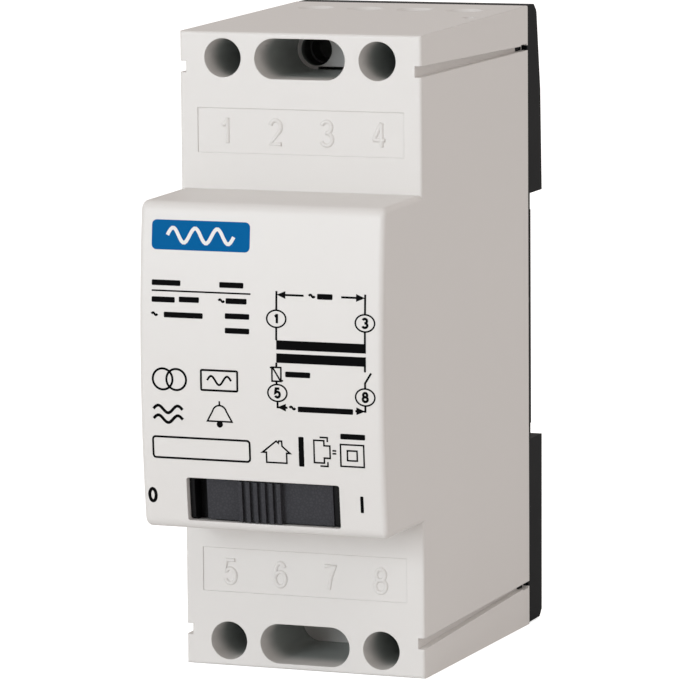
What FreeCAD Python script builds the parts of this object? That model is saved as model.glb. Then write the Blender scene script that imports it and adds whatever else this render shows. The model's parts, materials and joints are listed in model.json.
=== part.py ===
import FreeCAD, Part
import math
import os

from FreeCAD import Vector

# Two-module bell transformer for a 35 mm rail. Origin at the centre of the rail seat,
# front face towards -Y, +X to the right, +Z up. All sizes in millimetres.

# Moulded housing
WIDTH = 35.5
SHOULDER_HEIGHT = 89.0
BODY_DEPTH = 45.4
END_DRAFT = 0.9
NOSE_HEIGHT = 45.0
NOSE_DRAFT = 0.2
NOSE_DEPTH = 14.55
NOSE_CROWN = 1.35
WALL = 1.5
NOSE_END_WALL = 1.1
NOSE_END_ROUND = 1.5
NOSE_SIDE_ROUND = 0.8
BODY_ROUND = 0.4

# Terminal rows
ROW_MARGIN = 2.61
ROW_DROP = 3.6
WELL_R = 2.7
TUBE_WALL = 0.8
SLOT_POCKET_WALL = 0.7
SLOT_HALF_HEIGHT = 2.8
SLOT_WEB = 2.0
SLOT_FLOOR = 1.0
SLOT_WELL_R = 2.3
SLOT_WELL_DEPTH = 3.5
SLIT_HALF_WIDTH = 3.56
SLIT_HEIGHT = 0.4
PARTITION_DROP = 4.6
PARTITION = 1.2
RIB = 0.8
SIDE_PAD = 1.25
CHAMBER_REAR_GAP = 2.2
WIRE_Y = -10.7
WIRE_HOLE_R = 2.2
WIRE_FUNNEL = 0.45

# Marks and grooves on the outside
PANEL_MARGIN = 2.6
PANEL_ABOVE_NOSE = 5.25
PANEL_HEIGHT = 6.2
PANEL_DEPTH = 0.1
GROOVE_DEPTH = 0.95
GROOVE_FRONT_DROP = 5.7
GROOVE_FRONT_HEIGHT = 1.55
GROOVE_REAR_DROP = 5.55
GROOVE_REAR_HEIGHT = 0.7
CATCH_LENGTH = 2.5
CATCH_HEIGHT = 0.95
CATCH_TO_RIM = 0.5
DIMPLE_R = 0.95
DIMPLE_DEPTH = 0.5
DIMPLE_MARGIN = 2.05
DIMPLE_Y = -21.0

# Switch window and slider
WINDOW_LEFT = -11.2
WINDOW_RIGHT = 11.1
WINDOW_RISE = 4.25
WINDOW_HEIGHT = 6.0
WINDOW_ROUND = 0.35
LEDGE_LEFT = 0.75
LEDGE_RIGHT = 1.15
LEDGE_RECESS = 1.0
PLATE_RECESS = 0.8
PLATE_THICK = 1.3
PLATE_GAP = 0.2
SLIDE_TRAVEL = 1.8
STOP_GAP = 0.1
GRIP_LEFT = -3.64
GRIP_RIGHT = 2.55
GRIP_RIBS = 6
GRIP_RISE = 0.9
GRIP_GROOVE = 0.55
TRAY_DEPTH = 3.4
TRAY_FLOOR = 1.0
TRAY_MARGIN = 1.2
TRAY_BODY_DEPTH = 6.8
TRAY_WALL = 0.9
STEM_WIDTH = 5.0
STEM_HEIGHT = 2.2
CARRIER_WIDTH = 9.0
CARRIER_HEIGHT = 4.2
CARRIER_THICK = 1.6
RUN_GAP = 0.2

# Switch contacts
STRIP = 0.4
STRIP_HEIGHT = 2.6
CONTACT_GAP = 0.2
PAD_WIDTH = 0.8
PAD_RISE = 0.5
BRIDGE_PAD_INSET = 0.4
BREAK_GAP = 0.8
TAIL_LENGTH = 4.0

# Captive screws and lift clamps
SCREW_HEAD_R = 1.95
HEAD_GAP = 0.1
SCREW_HEAD = 2.4
HEAD_FRONT_GAP = 0.5
HEAD_BACK_GAP = 0.2
SCREW_R = 1.5
RING = 1.0
RING_GAP = 0.15
THREAD_GAP = 0.05
TIP_GAP = 0.2
DRIVE_SLOT = 0.7
DRIVE_DEPTH = 1.1
DRIVE_CROSS = 1.2
BAR_THICK = 1.2
BAR_GAP = 0.45
BAR_TAB = 3.0
WIRE_SPACE = 4.6
CAGE_GAP = 0.3
CAGE_YOKE = 3.0
CAGE_FLOOR = 1.2
CAGE_RIB_GAP = 0.185
LIFT_TRAVEL = 4.1
LIFT_GAP = 1.2
CAGE_SIDE = 0.85
CAGE_HALF_HEIGHT = 2.35

# Rear cover
RAIL = 35.0
RAIL_LIP = 1.0
RAIL_PLAY = 0.55
RELIEF = 0.3
LAND_HALF_HEIGHT = 15.7
COVER_THICK = 1.5
COVER_INSET = 0.15
COVER_FOOT_RISE = 0.2
PAD_WALL = 1.5
UPPER_PAD_ROOT = 5.2
UPPER_PAD_KNEE = 4.65
UPPER_KNEE_DROP = 12.6
UPPER_PAD_CORNER = 3.0
UPPER_CORNER_DROP = 1.1
UPPER_PAD_TOP = 1.75
LOWER_PAD_ROOT = 4.9
LOWER_PAD_FOOT = 4.7
PAD_CORNER = 1.0
SKIRT_GAP = 0.15
SKIRT = 1.2
SKIRT_DEPTH = 2.0
TONGUE_THICK = 1.1
TONGUE_HEIGHT = 3.0
TONGUE_LENGTH = 3.4
TONGUE_FLUSH = 0.05
POST_HALF_WIDTH = 6.0
POST_Z = 14.0
POST_HEIGHT = 4.0
HOOK_X = 8.7
HOOK_WIDTH = 7.5
HOOK_GRIP = 1.6
HOOK_LIP = 1.8
HOOK_CHAMFER = 0.4

# Sliding rail latch
LATCH_HALF_WIDTH = 6.05
LATCH_THICK = 2.5
LATCH_GAP = 0.2
LATCH_STRIP_HALF = 4.25
LATCH_STRIP = 1.0
LATCH_TRAVEL = 3.0
LATCH_FOOT_RISE = 0.3
LATCH_SLOT_HALF = 2.6
LATCH_SLOT_RISE = 2.7
LATCH_SLOT_HEIGHT = 1.4
PEG_RISE = 8.6
PEG_HEIGHT = 1.2
PEG_HALF_WIDTH = 2.6
SPRING_LENGTH = 10.6
SPRING_STRIP = 0.35
SPRING_DEPTH = 1.2
SPRING_TURNS = 4
SPRING_HALF_WIDTH = 2.8
CHANNEL_WALL = 1.9

# Transformer
STACK = 16.8
LIMB = 8.0
CORE_REAR_GAP = 3.9
CORE_HOLE_R = 1.75
SHELF = 1.2
SHELF_LENGTH = 18.0
SHELF_HALF_WIDTH = 9.0
FORMER_GAP = 0.2
FORMER_WALL = 1.0
FLANGE = 1.0
FLANGE_GAP = 0.1
COIL_SIDE_GAP = 0.5
COIL_INSET = 0.6
COIL_ROUND = 2.0
TAPE = 0.25

# Thermistor and inner wires
DISC_R = 4.0
DISC_THICK = 3.2
DISC_CHAMFER = 0.6
DISC_Y = -19.4
DISC_DROP = 7.3
WIRE_SIDES = 8
LEAD_R = 0.3
LEAD_BEND = 0.9
LEAD_SPAN = 2.5
CABLE_R = 0.6
CABLE_BEND = 2.5
CORE_CLEAR = 3.8

# Planes worked out from the sizes above
HALF_WIDTH = WIDTH / 2
Y_RIM = -COVER_THICK
Y_SHOULDER = Y_RIM - BODY_DEPTH
Y_NOSE_EDGE = Y_SHOULDER - NOSE_DEPTH
NOSE_HALF = NOSE_HEIGHT / 2
WINDOW_Z = -NOSE_HALF + WINDOW_RISE
NOSE_RADIUS = (NOSE_HALF ** 2 + NOSE_CROWN ** 2) / (2 * NOSE_CROWN)
Y_NOSE_CENTRE = Y_NOSE_EDGE - NOSE_CROWN + NOSE_RADIUS
WINDOW_LOW = WINDOW_Z - WINDOW_HEIGHT / 2
WINDOW_HIGH = WINDOW_Z + WINDOW_HEIGHT / 2
INNER_HALF = HALF_WIDTH - WALL
PITCH = (WIDTH - 2 * ROW_MARGIN) / 4
ROW_Z = SHOULDER_HEIGHT / 2 - ROW_DROP
PARTITION_Z = ROW_Z - PARTITION_DROP
CHAMBER_Z = PARTITION_Z + PARTITION
TUBE_R = WELL_R + TUBE_WALL
SLOT_CENTRES = 1.5 * PITCH - WELL_R - SLOT_WEB - SLOT_HALF_HEIGHT
HEAD_BORE_R = SCREW_HEAD_R + HEAD_GAP
Y_BAR_BACK = WIRE_Y - WIRE_SPACE / 2
Y_BAR = Y_BAR_BACK - BAR_THICK
Y_YOKE_BACK = Y_BAR - CAGE_GAP
Y_YOKE = Y_YOKE_BACK - CAGE_YOKE
Y_CAGE_FLOOR = Y_BAR_BACK + WIRE_SPACE
Y_RING_BACK = Y_YOKE - LIFT_TRAVEL - LIFT_GAP
Y_RING = Y_RING_BACK - RING
Y_HEAD_BACK = Y_RING - HEAD_BACK_GAP
Y_HEAD = Y_HEAD_BACK - SCREW_HEAD
Y_WELL_END = Y_HEAD - HEAD_FRONT_GAP
Y_SLOT_END = Y_WELL_END - SLOT_WELL_DEPTH
Y_CHAMBER_REAR = Y_RIM - CHAMBER_REAR_GAP
CAGE_HALF_WIDTH = PITCH / 2 - RIB / 2 - CAGE_RIB_GAP
BAR_HALF_WIDTH = CAGE_HALF_WIDTH - CAGE_SIDE - BAR_GAP
GROOVE_FRONT_Z = SHOULDER_HEIGHT / 2 - GROOVE_FRONT_DROP
GROOVE_REAR_Z = SHOULDER_HEIGHT / 2 - GROOVE_REAR_DROP
COVER_HALF_WIDTH = HALF_WIDTH - COVER_INSET
COVER_HALF_HEIGHT = SHOULDER_HEIGHT / 2 + END_DRAFT
COVER_FOOT_Z = -COVER_HALF_HEIGHT + COVER_FOOT_RISE
PEG_TOP_Z = -COVER_HALF_HEIGHT + PEG_RISE
RECESS_HALF = RAIL / 2 + RAIL_PLAY
Y_LIP = RAIL_LIP + LATCH_GAP
Y_CORE = Y_SHOULDER + WALL
Y_WINDOW = Y_CORE + LIMB
Y_CORE_BACK = Y_RIM - CORE_REAR_GAP
Y_YOKE_CORE = Y_CORE_BACK - LIMB
CORE_HALF = 3 * LIMB
DISC_Z = -PARTITION_Z + DISC_DROP
MARGIN = 1.0

TERMINALS = {
    "1": (-1.5 * PITCH, 1),
    "3": (0.5 * PITCH, 1),
    "5": (-1.5 * PITCH, -1),
    "8": (1.5 * PITCH, -1),
}


def block(x0, x1, y0, y1, z0, z1):
    """Rectangular block between two corners, given in any order."""
    low = Vector(min(x0, x1), min(y0, y1), min(z0, z1))
    return Part.makeBox(abs(x1 - x0), abs(y1 - y0), abs(z1 - z0), low)


def round_y(x, z, radius, y0, y1):
    """Round bar along Y."""
    return Part.makeCylinder(radius, y1 - y0, Vector(x, y0, z), Vector(0, 1, 0))


def slot_y(z, half_height, centres, y0, y1):
    """Bar along Y with an obround section."""
    bar = block(-centres, centres, y0, y1, z - half_height, z + half_height)
    ends = [round_y(side * centres, z, half_height, y0, y1) for side in (-1, 1)]
    return bar.fuse(ends).removeSplitter()


def side_prism(points, x0, x1):
    """Prism along X from a closed outline of (y, z) points."""
    corners = [Vector(x0, y, z) for y, z in points]
    face = Part.Face(Part.makePolygon(corners + corners[:1]))
    return face.extrude(Vector(x1 - x0, 0, 0))


def edges_where(shape, test):
    """Edges whose two ends and middle all pass a test."""
    found = []
    for edge in shape.Edges:
        middle = edge.valueAt((edge.FirstParameter + edge.LastParameter) / 2)
        points = [vertex.Point for vertex in edge.Vertexes] + [middle]
        if all(test(point) for point in points):
            found.append(edge)
    return found


def near(value, target):
    """True where two lengths are the same place."""
    return abs(value - target) < 0.01


def rod_section(place, direction, radius):
    """Many-sided face across a wire."""
    rim = Part.Circle(place, direction, radius)
    corners = [rim.value(2 * math.pi * side / WIRE_SIDES) for side in range(WIRE_SIDES)]
    return Part.Face(Part.makePolygon(corners + corners[:1]))


def bent_rod(points, radius, bend):
    """Wire of straight runs joined by tangent elbows of one bend radius."""
    pieces = []
    start = points[0]
    section = rod_section(start, points[1] - start, radius)
    for before, corner, after in zip(points, points[1:], points[2:]):
        to_back = (before - corner).normalize()
        to_front = (after - corner).normalize()
        half_angle = to_back.getAngle(to_front) / 2
        setback = bend / math.tan(half_angle)
        run = corner + to_back * setback - start
        centre = corner + (to_back + to_front).normalize() * (bend / math.sin(half_angle))
        axis = (start + run - centre).cross(-to_back)
        turn = 180 - math.degrees(2 * half_angle)
        pieces.append(section.extrude(run))
        section.translate(run)
        pieces.append(section.revolve(centre, axis, turn))
        section.rotate(centre, axis, turn)
        start = corner + to_front * setback
    pieces.append(section.extrude(points[-1] - start))
    return pieces[0].fuse(pieces[1:]).removeSplitter()


def end_z(y):
    """Height of the drafted top face at a depth; the bottom face mirrors it."""
    return SHOULDER_HEIGHT / 2 + END_DRAFT * (y - Y_SHOULDER) / BODY_DEPTH


def nose_end_z(y):
    """Height of the drafted top face of the nose at a depth."""
    return NOSE_HALF + NOSE_DRAFT * (y - Y_NOSE_EDGE) / NOSE_DEPTH


def nose_y(z, inset):
    """Depth of the crowned nose face, or of a face set behind it, at a height."""
    return Y_NOSE_CENTRE - math.sqrt((NOSE_RADIUS - inset) ** 2 - z * z)


def crowned_prism(x0, x1, z_low, z_high, inset, y_back, low_back=None, high_back=None):
    """Prism along X whose front follows the nose face at an inset."""
    low_back = z_low if low_back is None else low_back
    high_back = z_high if high_back is None else high_back
    z_middle = (z_low + z_high) / 2
    front_low = Vector(x0, nose_y(z_low, inset), z_low)
    front_middle = Vector(x0, nose_y(z_middle, inset), z_middle)
    front_high = Vector(x0, nose_y(z_high, inset), z_high)
    back_high = Vector(x0, y_back, high_back)
    back_low = Vector(x0, y_back, low_back)
    outline = Part.Wire([
        Part.Arc(front_low, front_middle, front_high).toShape(),
        Part.LineSegment(front_high, back_high).toShape(),
        Part.LineSegment(back_high, back_low).toShape(),
        Part.LineSegment(back_low, front_low).toShape(),
    ])
    return Part.Face(outline).extrude(Vector(x1 - x0, 0, 0))


def outer_body():
    """Box part of the housing, with drafted ends and small rounds on its front and rear edges."""
    top_front = end_z(Y_SHOULDER)
    top_rear = end_z(Y_RIM)
    body = side_prism([
        (Y_SHOULDER, -top_front), (Y_SHOULDER, top_front), (Y_RIM, top_rear), (Y_RIM, -top_rear),
    ], -HALF_WIDTH, HALF_WIDTH)
    front_edges = edges_where(body, lambda p: near(p.y, Y_SHOULDER))
    body = body.makeFillet(BODY_ROUND, front_edges)
    rear_edge = edges_where(body, lambda p: near(p.y, Y_RIM) and near(p.z, top_rear))
    return body.makeFillet(BODY_ROUND, rear_edge)


def outer_nose():
    """Crowned nose, rounded along its front edges, reaching a little into the body."""
    y_back = Y_SHOULDER + WALL
    nose = crowned_prism(-HALF_WIDTH, HALF_WIDTH, -NOSE_HALF, NOSE_HALF, 0, y_back,
                         -nose_end_z(y_back), nose_end_z(y_back))
    ends = edges_where(nose, lambda p: near(p.y, Y_NOSE_EDGE) and near(abs(p.z), NOSE_HALF))
    nose = nose.makeFillet(NOSE_END_ROUND, ends)
    sides = edges_where(nose, lambda p: near(abs(p.x), HALF_WIDTH) and p.y < Y_NOSE_EDGE + 0.01)
    return nose.makeFillet(NOSE_SIDE_ROUND, sides)


def inner_space():
    """Hollow inside the walls, open at the rear."""
    y_front = Y_SHOULDER + WALL
    y_rear = Y_RIM + MARGIN
    top_front = end_z(y_front) - WALL
    top_rear = end_z(y_rear) - WALL
    body = side_prism([
        (y_front, -top_front), (y_front, top_front), (y_rear, top_rear), (y_rear, -top_rear),
    ], -INNER_HALF, INNER_HALF)
    half = NOSE_HALF - NOSE_END_WALL
    half_back = nose_end_z(y_front) - NOSE_END_WALL
    nose = crowned_prism(-INNER_HALF, INNER_HALF, -half, half, WALL, y_front + MARGIN,
                         -half_back, half_back)
    return body.fuse(nose)


def terminal_walls(end):
    """Tubes, slot pocket, partition and ribs of one terminal row."""
    z = end * ROW_Z
    y_front = Y_SHOULDER + WALL / 2
    top = end * (end_z(Y_RIM) - WALL / 2)
    y_floor = Y_SLOT_END + SLOT_FLOOR
    walls = [
        block(-HALF_WIDTH + WALL / 2, HALF_WIDTH - WALL / 2, y_front, Y_CHAMBER_REAR,
              end * PARTITION_Z, end * CHAMBER_Z),
        slot_y(z, SLOT_HALF_HEIGHT + SLOT_POCKET_WALL, SLOT_CENTRES, y_front, y_floor),
    ]
    for side in (-1, 1):
        walls.append(round_y(side * 1.5 * PITCH, z, TUBE_R, y_front, Y_RING_BACK))
        walls.append(block(side * (INNER_HALF - SIDE_PAD), side * (HALF_WIDTH - WALL / 2),
                           y_front, Y_CHAMBER_REAR - TONGUE_LENGTH, end * PARTITION_Z, top))
        if end > 0:
            walls.append(round_y(side * 0.5 * PITCH, z, SLOT_WELL_R + TUBE_WALL,
                                 Y_SLOT_END, Y_RING_BACK))
    for place in (-PITCH, 0, PITCH):
        walls.append(block(place - RIB / 2, place + RIB / 2, Y_RING_BACK, Y_CHAMBER_REAR,
                           end * PARTITION_Z, top))
    return walls


def terminal_holes(end):
    """Wells, slot, wire entries and bar notches of one terminal row."""
    z = end * ROW_Z
    y_out = Y_SHOULDER - MARGIN
    holes = [slot_y(z, SLOT_HALF_HEIGHT, SLOT_CENTRES, y_out, Y_SLOT_END)]
    for side in (-1, 1):
        holes.append(round_y(side * 1.5 * PITCH, z, WELL_R, y_out, Y_WELL_END))
        holes.append(round_y(side * 1.5 * PITCH, z, HEAD_BORE_R, y_out, Y_RING))
        if end > 0:
            holes.append(round_y(side * 0.5 * PITCH, z, SLOT_WELL_R, Y_SLOT_END, Y_WELL_END))
            holes.append(round_y(side * 0.5 * PITCH, z, HEAD_BORE_R, Y_SLOT_END, Y_RING))
    if end > 0:
        z_slit = ROW_Z - SLOT_HALF_HEIGHT
        holes.append(block(-SLIT_HALF_WIDTH, SLIT_HALF_WIDTH, Y_SLOT_END - SLIT_HEIGHT,
                           Y_SLOT_END + SLOT_FLOOR + MARGIN, z_slit, z_slit + SLIT_HEIGHT))
    places = (-1.5, -0.5, 0.5, 1.5) if end > 0 else (-1.5, 1.5)
    for place in places:
        holes.append(wire_entry(place * PITCH, end))
    return holes


def wire_entry(x, end):
    """Round wire hole through the top or bottom wall, with a funnel mouth."""
    face = end_z(WIRE_Y)
    direction = Vector(0, 0, end)
    inside = face - WALL - MARGIN
    hole = Part.makeCylinder(WIRE_HOLE_R, face + MARGIN - inside,
                             Vector(x, WIRE_Y, end * inside), direction)
    funnel = Part.makeCone(WIRE_HOLE_R, WIRE_HOLE_R + 2 * WIRE_FUNNEL, 2 * WIRE_FUNNEL,
                           Vector(x, WIRE_Y, end * (face - WIRE_FUNNEL)), direction)
    return hole.fuse(funnel)


def side_groove(side, end):
    """Tapered groove along one side, with the catch window at its rear end."""
    x_floor = side * (HALF_WIDTH - GROOVE_DEPTH)
    x_out = side * (HALF_WIDTH + MARGIN)
    groove = side_prism([
        (Y_SHOULDER - MARGIN, end * GROOVE_FRONT_Z),
        (Y_SHOULDER - MARGIN, end * (GROOVE_FRONT_Z + GROOVE_FRONT_HEIGHT)),
        (Y_RIM + MARGIN, end * (GROOVE_REAR_Z + GROOVE_REAR_HEIGHT)),
        (Y_RIM + MARGIN, end * GROOVE_REAR_Z),
    ], x_floor, x_out)
    y_catch = Y_RIM - CATCH_TO_RIM
    window = block(side * (INNER_HALF - MARGIN), x_out, y_catch - CATCH_LENGTH, y_catch,
                   end * GROOVE_REAR_Z, end * (GROOVE_REAR_Z + CATCH_HEIGHT))
    return groove.fuse(window)


def switch_window():
    """Window in the nose, with rounded corners."""
    hole = block(WINDOW_LEFT, WINDOW_RIGHT, Y_NOSE_EDGE - NOSE_CROWN - MARGIN,
                 nose_y(WINDOW_LOW, WALL) + MARGIN, WINDOW_LOW, WINDOW_HIGH)
    corners = edges_where(hole, lambda p: near(abs(p.x - (WINDOW_LEFT + WINDOW_RIGHT) / 2),
                                               (WINDOW_RIGHT - WINDOW_LEFT) / 2)
                          and near(abs(p.z - WINDOW_Z), WINDOW_HEIGHT / 2))
    return hole.makeFillet(WINDOW_ROUND, corners)


def bar_passage(x, end):
    """Notch in the partition that grips one contact bar."""
    return block(x - BAR_HALF_WIDTH, x + BAR_HALF_WIDTH, Y_BAR, Y_BAR_BACK,
                 end * (PARTITION_Z - MARGIN), end * (CHAMBER_Z + MARGIN))


def housing():
    """White moulded shell with its nose, wells, slots and inner ribs."""
    outer = outer_body().fuse(outer_nose()).removeSplitter()
    shell = outer.cut(inner_space())
    inside = []
    shelf_z = max(CORE_HALF, NOSE_HALF - NOSE_END_WALL) + SHELF
    for end in (-1, 1):
        inside += terminal_walls(end)
        inside.append(block(-SHELF_HALF_WIDTH, SHELF_HALF_WIDTH, Y_SHOULDER + WALL / 2,
                            Y_CORE + SHELF_LENGTH, end * CORE_HALF, end * shelf_z))
    shell = shell.fuse([wall.common(outer) for wall in inside])
    holes = [switch_window()]
    panel_half = HALF_WIDTH - PANEL_MARGIN
    panel_z = NOSE_HALF + PANEL_ABOVE_NOSE
    for end in (-1, 1):
        holes += terminal_holes(end)
        holes += [side_groove(side, end) for side in (-1, 1)]
        holes.append(block(-panel_half, panel_half, Y_SHOULDER - MARGIN, Y_SHOULDER + PANEL_DEPTH,
                           end * panel_z, end * (panel_z + PANEL_HEIGHT)))
    for x, end in TERMINALS.values():
        holes.append(bar_passage(x, end))
        holes.append(round_y(x, end * ROW_Z, SCREW_R + RING_GAP, Y_RING - MARGIN,
                             Y_RING_BACK + MARGIN))
    top = end_z(DIMPLE_Y)
    holes.append(Part.makeCylinder(DIMPLE_R, DIMPLE_DEPTH + MARGIN,
                                   Vector(HALF_WIDTH - DIMPLE_MARGIN, DIMPLE_Y, top - DIMPLE_DEPTH)))
    return shell.cut(holes).removeSplitter()


def pad_outline(end):
    """Outline (y, z) of one rear pad, from the rim to the recess."""
    if end > 0:
        return [
            (Y_RIM, RECESS_HALF), (UPPER_PAD_ROOT, RECESS_HALF),
            (UPPER_PAD_KNEE, COVER_HALF_HEIGHT - UPPER_KNEE_DROP),
            (UPPER_PAD_CORNER, COVER_HALF_HEIGHT - UPPER_CORNER_DROP),
            (UPPER_PAD_TOP, COVER_HALF_HEIGHT), (Y_RIM, COVER_HALF_HEIGHT),
        ]
    return [
        (Y_RIM, -RECESS_HALF), (LOWER_PAD_ROOT, -RECESS_HALF),
        (LOWER_PAD_FOOT, COVER_FOOT_Z + PAD_CORNER), (LOWER_PAD_FOOT - PAD_CORNER, COVER_FOOT_Z),
        (Y_RIM, COVER_FOOT_Z),
    ]


def skirt_size():
    """Half width and half height of the cover's rim that enters the housing."""
    return INNER_HALF - SKIRT_GAP, end_z(Y_RIM - SKIRT_DEPTH) - WALL - SKIRT_GAP


def pad_hollow(end):
    """Hollow behind one rear pad, inside its wall and inside the rim in front of it."""
    half, top = skirt_size()
    outline = pad_outline(end)
    y_open = Y_RIM - PAD_WALL - MARGIN
    outline = [(y_open if near(y, Y_RIM) else y, z) for y, z in outline]
    corners = [Vector(-COVER_HALF_WIDTH, y, z) for y, z in outline]
    wire = Part.makePolygon(corners + corners[:1])
    inner = wire.makeOffset2D(-PAD_WALL)
    if Part.Face(inner).Area > Part.Face(wire).Area:
        inner = wire.makeOffset2D(PAD_WALL)
    hollow = Part.Face(inner).extrude(Vector(2 * COVER_HALF_WIDTH, 0, 0))
    return hollow.common(block(-half + SKIRT, half - SKIRT, y_open, UPPER_PAD_ROOT,
                               -top + SKIRT, top - SKIRT))


def skirt():
    """Rim of the cover that enters the housing."""
    half, top = skirt_size()
    y_front = Y_RIM - SKIRT_DEPTH
    ring = block(-half, half, y_front, Y_RIM, -top, top)
    return ring.cut(block(-half + SKIRT, half - SKIRT, y_front - MARGIN, Y_RIM + MARGIN,
                          -top + SKIRT, top - SKIRT))


def snap_tongue(side, end):
    """Tongue on the cover whose nub shows in the side groove's catch window."""
    x_face = INNER_HALF - SKIRT_GAP
    z_low = GROOVE_REAR_Z + (CATCH_HEIGHT - TONGUE_HEIGHT) / 2
    y_front = Y_RIM - TONGUE_LENGTH
    arm = block(side * (x_face - TONGUE_THICK), side * x_face, y_front, Y_RIM,
                end * z_low, end * (z_low + TONGUE_HEIGHT))
    y_catch = Y_RIM - CATCH_TO_RIM - SKIRT_GAP / 2
    nub = block(side * (x_face - MARGIN), side * (HALF_WIDTH - GROOVE_DEPTH + TONGUE_FLUSH),
                y_catch - CATCH_LENGTH + SKIRT_GAP, y_catch, end * (GROOVE_REAR_Z + TONGUE_FLUSH),
                end * (GROOVE_REAR_Z + CATCH_HEIGHT - TONGUE_FLUSH))
    return arm.fuse(nub)


def rail_hook(side):
    """Fixed hook that reaches behind the upper lip of the rail."""
    tip = RAIL / 2 - HOOK_GRIP
    root = RECESS_HALF + MARGIN
    x0 = side * HOOK_X - HOOK_WIDTH / 2
    return side_prism([
        (Y_LIP, root), (Y_LIP, tip + HOOK_CHAMFER), (Y_LIP + HOOK_CHAMFER, tip),
        (Y_LIP + HOOK_LIP - HOOK_CHAMFER, tip), (Y_LIP + HOOK_LIP, tip + HOOK_GRIP),
        (Y_LIP + HOOK_LIP, root),
    ], x0, x0 + HOOK_WIDTH)


def latch_channel():
    """T-shaped channel that the latch slides in, open at both ends."""
    z_top = -LAND_HALF_HEIGHT - RELIEF
    z_low = -COVER_HALF_HEIGHT - MARGIN
    wide = LATCH_HALF_WIDTH + LATCH_GAP
    y_floor = Y_LIP - LATCH_GAP
    y_lip = Y_LIP + LATCH_THICK + LATCH_GAP
    narrow = LATCH_STRIP_HALF + LATCH_GAP
    deep = block(-wide, wide, y_floor, y_lip, z_low, z_top)
    return deep.fuse(block(-narrow, narrow, y_floor, LOWER_PAD_ROOT + MARGIN, z_low, z_top))


def base_plate():
    """Black rear cover with rail recess, pads, fixed hooks and snap tongues."""
    half = COVER_HALF_WIDTH
    cover = block(-half, half, Y_RIM, 0, COVER_FOOT_Z, COVER_HALF_HEIGHT)
    cover = cover.fuse([side_prism(pad_outline(end), -half, half) for end in (-1, 1)])
    cover = cover.removeSplitter()
    corner = edges_where(cover, lambda p: near(p.y, UPPER_PAD_CORNER)
                         and near(p.z, COVER_HALF_HEIGHT - UPPER_CORNER_DROP))
    cover = cover.makeFillet(PAD_CORNER, corner)
    block_half = LATCH_HALF_WIDTH + LATCH_GAP + CHANNEL_WALL
    lower = pad_hollow(-1).cut(block(-block_half, block_half, Y_CORE_BACK, LOWER_PAD_ROOT,
                                     -COVER_HALF_HEIGHT, 0))
    cover = cover.cut([pad_hollow(1), lower])
    relief_z = (LAND_HALF_HEIGHT, RECESS_HALF)
    cover = cover.cut([block(-half - MARGIN, half + MARGIN, -RELIEF, MARGIN, end * relief_z[0],
                             end * relief_z[1]) for end in (-1, 1)])
    added = [skirt()]
    for side in (-1, 1):
        added.append(rail_hook(side))
        added.append(block(-POST_HALF_WIDTH, POST_HALF_WIDTH, Y_CORE_BACK, Y_RIM + MARGIN,
                           side * POST_Z - POST_HEIGHT / 2, side * POST_Z + POST_HEIGHT / 2))
        added += [snap_tongue(side, end) for end in (-1, 1)]
    cover = cover.fuse(added).cut(latch_channel())
    peg = block(-PEG_HALF_WIDTH, PEG_HALF_WIDTH, Y_LIP - LATCH_GAP - MARGIN,
                Y_LIP + LATCH_THICK - LATCH_GAP, PEG_TOP_Z - PEG_HEIGHT, PEG_TOP_Z)
    return cover.fuse(peg).removeSplitter()


def rail_latch():
    """Sliding foot whose nose grips the lower lip of the rail."""
    y_back = Y_LIP + LATCH_THICK
    z_foot = COVER_FOOT_Z + LATCH_FOOT_RISE
    z_step = -RECESS_HALF - LATCH_GAP
    tip = -RAIL / 2 + HOOK_GRIP
    foot = side_prism([
        (Y_LIP, z_foot), (Y_LIP, tip - HOOK_CHAMFER), (Y_LIP + HOOK_CHAMFER, tip),
        (Y_LIP + HOOK_LIP - HOOK_CHAMFER, tip), (y_back, z_step), (y_back, z_foot),
    ], -LATCH_HALF_WIDTH, LATCH_HALF_WIDTH)
    strip = block(-LATCH_STRIP_HALF, LATCH_STRIP_HALF, y_back, y_back + LATCH_STRIP,
                  z_foot, z_step - LATCH_TRAVEL)
    window_half = PEG_HALF_WIDTH + 2 * LATCH_GAP
    window = block(-window_half, window_half, Y_LIP - MARGIN, y_back,
                   PEG_TOP_Z - PEG_HEIGHT - LATCH_GAP, PEG_TOP_Z + SPRING_LENGTH)
    z_slot = -COVER_HALF_HEIGHT + LATCH_SLOT_RISE
    pull = block(-LATCH_SLOT_HALF, LATCH_SLOT_HALF, Y_LIP + LATCH_THICK / 2, y_back + 2 * LATCH_STRIP,
                 z_slot, z_slot + LATCH_SLOT_HEIGHT)
    return foot.fuse(strip).removeSplitter().cut([window, pull])


def latch_spring():
    """Folded strip spring between the cover's peg and the latch."""
    y0 = Y_LIP + (LATCH_THICK - SPRING_DEPTH) / 2
    y1 = y0 + SPRING_DEPTH
    pitch = (SPRING_LENGTH - SPRING_STRIP) / SPRING_TURNS
    outer = (pitch + SPRING_STRIP) / 2
    half = SPRING_HALF_WIDTH - outer
    pieces = []
    for level in range(SPRING_TURNS + 1):
        z = PEG_TOP_Z + level * pitch
        pieces.append(block(-half, half, y0, y1, z, z + SPRING_STRIP))
    for fold in range(SPRING_TURNS):
        side = 1 if fold % 2 == 0 else -1
        z = PEG_TOP_Z + fold * pitch + outer
        ring = round_y(side * half, z, outer, y0, y1)
        ring = ring.cut(round_y(side * half, z, outer - SPRING_STRIP, y0, y1))
        pieces.append(ring.common(block(side * half, side * SPRING_HALF_WIDTH, y0, y1,
                                        z - outer, z + outer)))
    return pieces[0].fuse(pieces[1:]).removeSplitter()


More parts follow.
